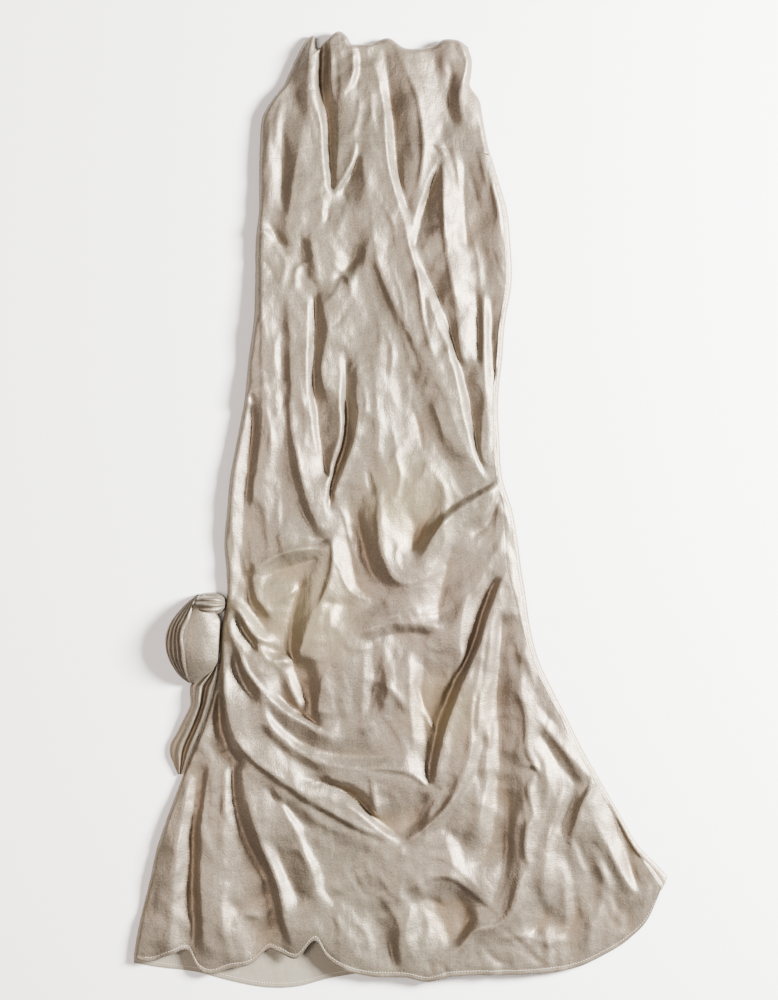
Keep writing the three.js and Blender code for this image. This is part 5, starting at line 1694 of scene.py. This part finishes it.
def along_sections(sections: Sequence[Row], rows: int) -> tuple[Array, ...]:
    """Reads a table of sections at even steps.

    Args:
        sections: The table, from its first y to its last.
        rows: Number of steps.

    Returns:
        y and the table's three other columns, one value for each row of points.
    """
    y = np.linspace(sections[0][0], sections[-1][0], rows + 1)[:, None]
    return (y, *(table_curve(sections, column)(y) for column in (1, 2, 3)))


@dataclass
class BowLoop:
    """The pleated loop: layers stacked at the outer side and a smooth face inside them."""

    rows: int = 110
    pleats: int = 5
    pleat_share: float = 0.075
    pleat_step: float = 3.4
    pleat_slope: float = 1.6
    pleat_faces: int = 16
    smooth_columns: int = 60
    crown_at: float = 0.3
    base: float = 0.2
    lowest: float = 0.8
    rim: float = 21.0
    crown: float = 38.5
    inner: float = 27.0

    def profile(self, u: Array) -> Array:
        """Works out the height across the loop.

        Args:
            u: Shares of its width.

        Returns:
            The height at each.
        """
        stacked = self.pleats * self.pleat_share
        k = np.clip(u / self.pleat_share, 0, self.pleats - 1e-6)
        step = np.floor(k)
        inside = k - step
        rise = 1 - np.exp(-(inside / 0.16) ** 2)
        pleated = (step + rise) * self.pleat_step - self.pleat_slope * inside**2 * rise
        pleated = pleated + self.rim * (1 - np.exp(-((u / 0.02) ** 2)))
        t = np.clip((u - stacked) / (1 - stacked), 0, 1)
        start = self.rim + self.pleats * self.pleat_step - self.pleat_slope
        crown = mix(start, self.crown, np.sin(np.clip(t / self.crown_at, 0, 1) * math.pi / 2))
        down = mix(crown, self.inner, past(t, self.crown_at) ** 2.2)
        return np.where(u < stacked, pleated, down)

    def grid(self) -> Array:
        """Lays out the loop.

        Returns:
            Points of its upper side.
        """
        y, outer, inner, rise = along_sections(LOOP_SECTIONS, self.rows)
        stacked = self.pleats * self.pleat_share
        pleats = np.linspace(0, stacked, self.pleat_faces * self.pleats + 1)
        u = np.concatenate([pleats, np.linspace(stacked, 1, self.smooth_columns)[1:]])[None]
        wave = 0.02 * np.sin(y / 9 + 8 * u) * np.sin(math.pi * u)
        z = self.profile(np.clip(u + wave * (u < 0.5), 0, 1)) * rise
        z = z + 0.8 * gradient_noise(y / 34, 2.2 * u, 91) * (u > 0.4)
        x = mix(outer, inner, u)
        return np.stack([x, y * np.ones_like(x), np.maximum(z, self.lowest)], axis=-1)

    def build(self, dressed: Dressed) -> bpy.types.Object:
        """Builds the loop with a flat base.

        Args:
            dressed: The finishes.

        Returns:
            The piece.
        """
        top = self.grid()
        base = top * (1, 1, 0) + (0, 0, self.base)
        ring = np.concatenate([top, base[:, ::-1], top[:, :1]], axis=1)
        piece = Sheet("bow_pleated_loop", ring).build([dressed[Dressing.FACE]])
        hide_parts("bow_loop")
        return piece


@dataclass
class HipKnot:
    """The knot: a gathered band wound over itself, its pleats meeting at both ends."""

    x: float = -285.0
    y: float = -140.0
    across: float = 23.0
    along: float = 17.0
    height: float = 44.0
    pleats: int = 5
    pinch: float = 0.02
    under: float = 0.15
    valley: float = 0.86
    ridge: float = 0.16
    lowest: float = 0.4
    rings: int = 70
    sides: int = 120

    def build(self, dressed: Dressed) -> bpy.types.Object:
        """Builds the knot as a closed gathered band.

        Args:
            dressed: The finishes.

        Returns:
            The piece.
        """
        end = np.linspace(self.pinch, math.pi - self.pinch, self.rings)[:, None]
        turn = np.linspace(-self.under, math.pi + self.under, self.sides)[None]
        fold = np.abs(np.sin(self.pleats * turn + 0.5 * np.cos(end)))
        swell = (self.valley + self.ridge * fold) * np.sin(end) ** 0.6
        x = self.x - self.across * np.cos(end) * np.ones_like(turn)
        y = self.y + self.along * swell * np.cos(turn)
        z = np.maximum(self.height * swell * np.sin(turn), self.lowest)
        piece = Sheet("bow_knot", np.stack([x, y, z], axis=-1)).build([dressed[Dressing.FACE]])
        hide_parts("hip_knot")
        return piece


@dataclass
class BowTail:
    """The pointed tail that comes out from under the loop."""

    rows: int = 90
    columns: int = 50
    column_crowding: float = 1.3
    unevenness: float = 0.6
    lowest: float = 0.4

    def build(self, dressed: Dressed) -> bpy.types.Object:
        """Builds the tail.

        Args:
            dressed: The finishes.

        Returns:
            The piece.
        """
        y, outer, inner, fold = along_sections(TAIL_SECTIONS, self.rows)
        u = np.linspace(0, 1, self.columns + 1)[None] ** self.column_crowding
        x = mix(outer, inner, u)
        uneven = self.unevenness * gradient_noise(x / 18, y / 40, 83)
        z = np.maximum(table_curve(TAIL_PROFILE)(u) * fold + uneven, self.lowest)
        grid = np.stack([x, y * np.ones_like(x), z], axis=-1)
        piece = Sheet("bow_tail_end", grid).build([dressed[Dressing.FACE]])
        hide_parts("bow_tail")
        return piece


@dataclass
class HemStitches:
    """The row of stitches that holds a turned hem."""

    name: str
    path: Array
    length: float = 3.0
    pitch: float = 4.2
    radius: float = 0.45
    tip: float = 0.35
    sides: int = 6

    def build(self, dressed: Dressed) -> bpy.types.Object:
        """Builds one small stitch, thick in its middle, at each step along the path.

        Args:
            dressed: The finishes.

        Returns:
            The piece.
        """
        run = run_along(self.path)
        starts = np.arange(0, run[-1] - self.pitch, self.pitch)
        a, b = (
            np.stack([np.interp(at, run, self.path[:, k]) for k in range(3)], axis=-1)
            for at in (starts, starts + self.length)
        )
        rise = np.array((0, 0, 1.0))
        aside = np.cross((b - a) / np.linalg.norm(b - a, axis=1, keepdims=True), rise)
        angle = 2 * math.pi * np.arange(self.sides) / self.sides
        spoke = aside[:, None] * np.cos(angle)[:, None] + rise * np.sin(angle)[:, None]
        middle = (a + b) / 2 + rise * self.radius
        rings = [
            centre[:, None] + spoke * self.radius * size
            for centre, size in ((a, self.tip), (middle, 1.0), (b, self.tip))
        ]
        k = np.arange(self.sides)
        n = (k + 1) % self.sides
        ring = np.stack([k, n, self.sides + n, self.sides + k], axis=-1)
        stitch = np.concatenate([ring, ring + self.sides])
        first = 3 * self.sides * np.arange(len(starts))
        faces = (first[:, None, None] + stitch).reshape(-1, 4)
        points = np.stack(rings, axis=1).reshape(-1, 3)
        return mesh_object(self.name, points, faces, [dressed[Dressing.THREAD]])


@dataclass
class Studio:
    """The pale floor, the soft light and the camera straight above the dress."""

    floor_half: float = 14.0
    floor_tone: float = 0.9
    centre: Point = (-0.01725, 0.015)
    distance: float = 3.0
    view_height: float = 1.5
    sensor: float = 36.0
    surround: Color = (1.0, 0.98, 0.97)
    surround_strength: float = 0.26

    def floor(self) -> None:
        """Lays a plain pale floor just under the dress."""
        mesh = bpy.data.meshes.new("pale_floor")
        h = self.floor_half
        mesh.from_pydata([(-h, -h, 0), (h, -h, 0), (h, h, 0), (-h, h, 0)], [], [(0, 1, 2, 3)])
        plane = bpy.data.objects.new("pale_floor", mesh)
        bpy.context.scene.collection.objects.link(plane)
        material = bpy.data.materials.new("pale_floor")
        material.use_nodes = True
        shader = material.node_tree.nodes["Principled BSDF"]
        shader.inputs["Base Color"].default_value = (*[self.floor_tone] * 3, 1)
        shader.inputs["Roughness"].default_value = 0.9
        mesh.materials.append(material)

    def lamp(self, name: str, place: Color, size: float, power: float, tint: Color) -> None:
        """Hangs a square area light that looks at the middle of the dress.

        Args:
            name: Its name.
            place: Where it hangs, in metres.
            size: Its side.
            power: Its power in watts.
            tint: Its colour.
        """
        data = bpy.data.lights.new(name, "AREA")
        data.size, data.energy, data.color = size, power, tint
        lamp = bpy.data.objects.new(name, data)
        lamp.location = place
        lamp.rotation_euler = (-Vector(place)).to_track_quat("-Z", "Y").to_euler()
        bpy.context.scene.collection.objects.link(lamp)

    def light(self) -> None:
        """Sets one soft key from the right, a wide fill from above, and a pale surround."""
        self.lamp("key", (2.8, 0.7, 1.55), 0.9, 1350, (1.0, 0.99, 0.96))
        self.lamp("fill", (-1.4, -0.2, 2.6), 1.6, 88, (1.0, 0.86, 0.78))
        world = bpy.data.worlds.new("studio")
        world.use_nodes = True
        background = world.node_tree.nodes["Background"]
        background.inputs["Color"].default_value = (*self.surround, 1)
        background.inputs["Strength"].default_value = self.surround_strength
        bpy.context.scene.world = world

    def camera(self) -> None:
        """Points the camera straight down, with the neck at the top of the picture."""
        data = bpy.data.cameras.new("above")
        data.sensor_width = self.sensor
        data.lens = self.sensor * self.distance / self.view_height
        camera = bpy.data.objects.new("above", data)
        camera.location = (*self.centre, self.distance)
        bpy.context.scene.collection.objects.link(camera)
        bpy.context.scene.camera = camera

    def build(self) -> None:
        """Sets the whole stage."""
        self.floor()
        self.light()
        self.camera()


def main() -> None:
    """Builds the dress around the frame."""
    logging.basicConfig(level=logging.INFO, format="%(message)s")
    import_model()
    Studio().build()
    dressed = {dressing: dressing.value.build() for dressing in Dressing}
    face = ClothFace()
    log.info("face relaxed: %.1f to %.1f mm", face.z.min(), face.z.max())
    back, front = BackPanel(face), FrontPanel(face)
    parts = (
        back,
        front,
        FrontYoke(face),
        HipKnot(),
        BowLoop(),
        BowTail(),
        HemStitches("front_hem_stitches", front.stitch_row()),
        HemStitches("back_hem_stitches", back.stitch_row()),
    )
    for part in parts:
        piece = part.build(dressed)
        area = sum(polygon.area for polygon in piece.data.polygons)
        log.info("%s: %d faces, %.3f square metres", piece.name, len(piece.data.polygons), area)


if __name__ == "__main__":
    main()
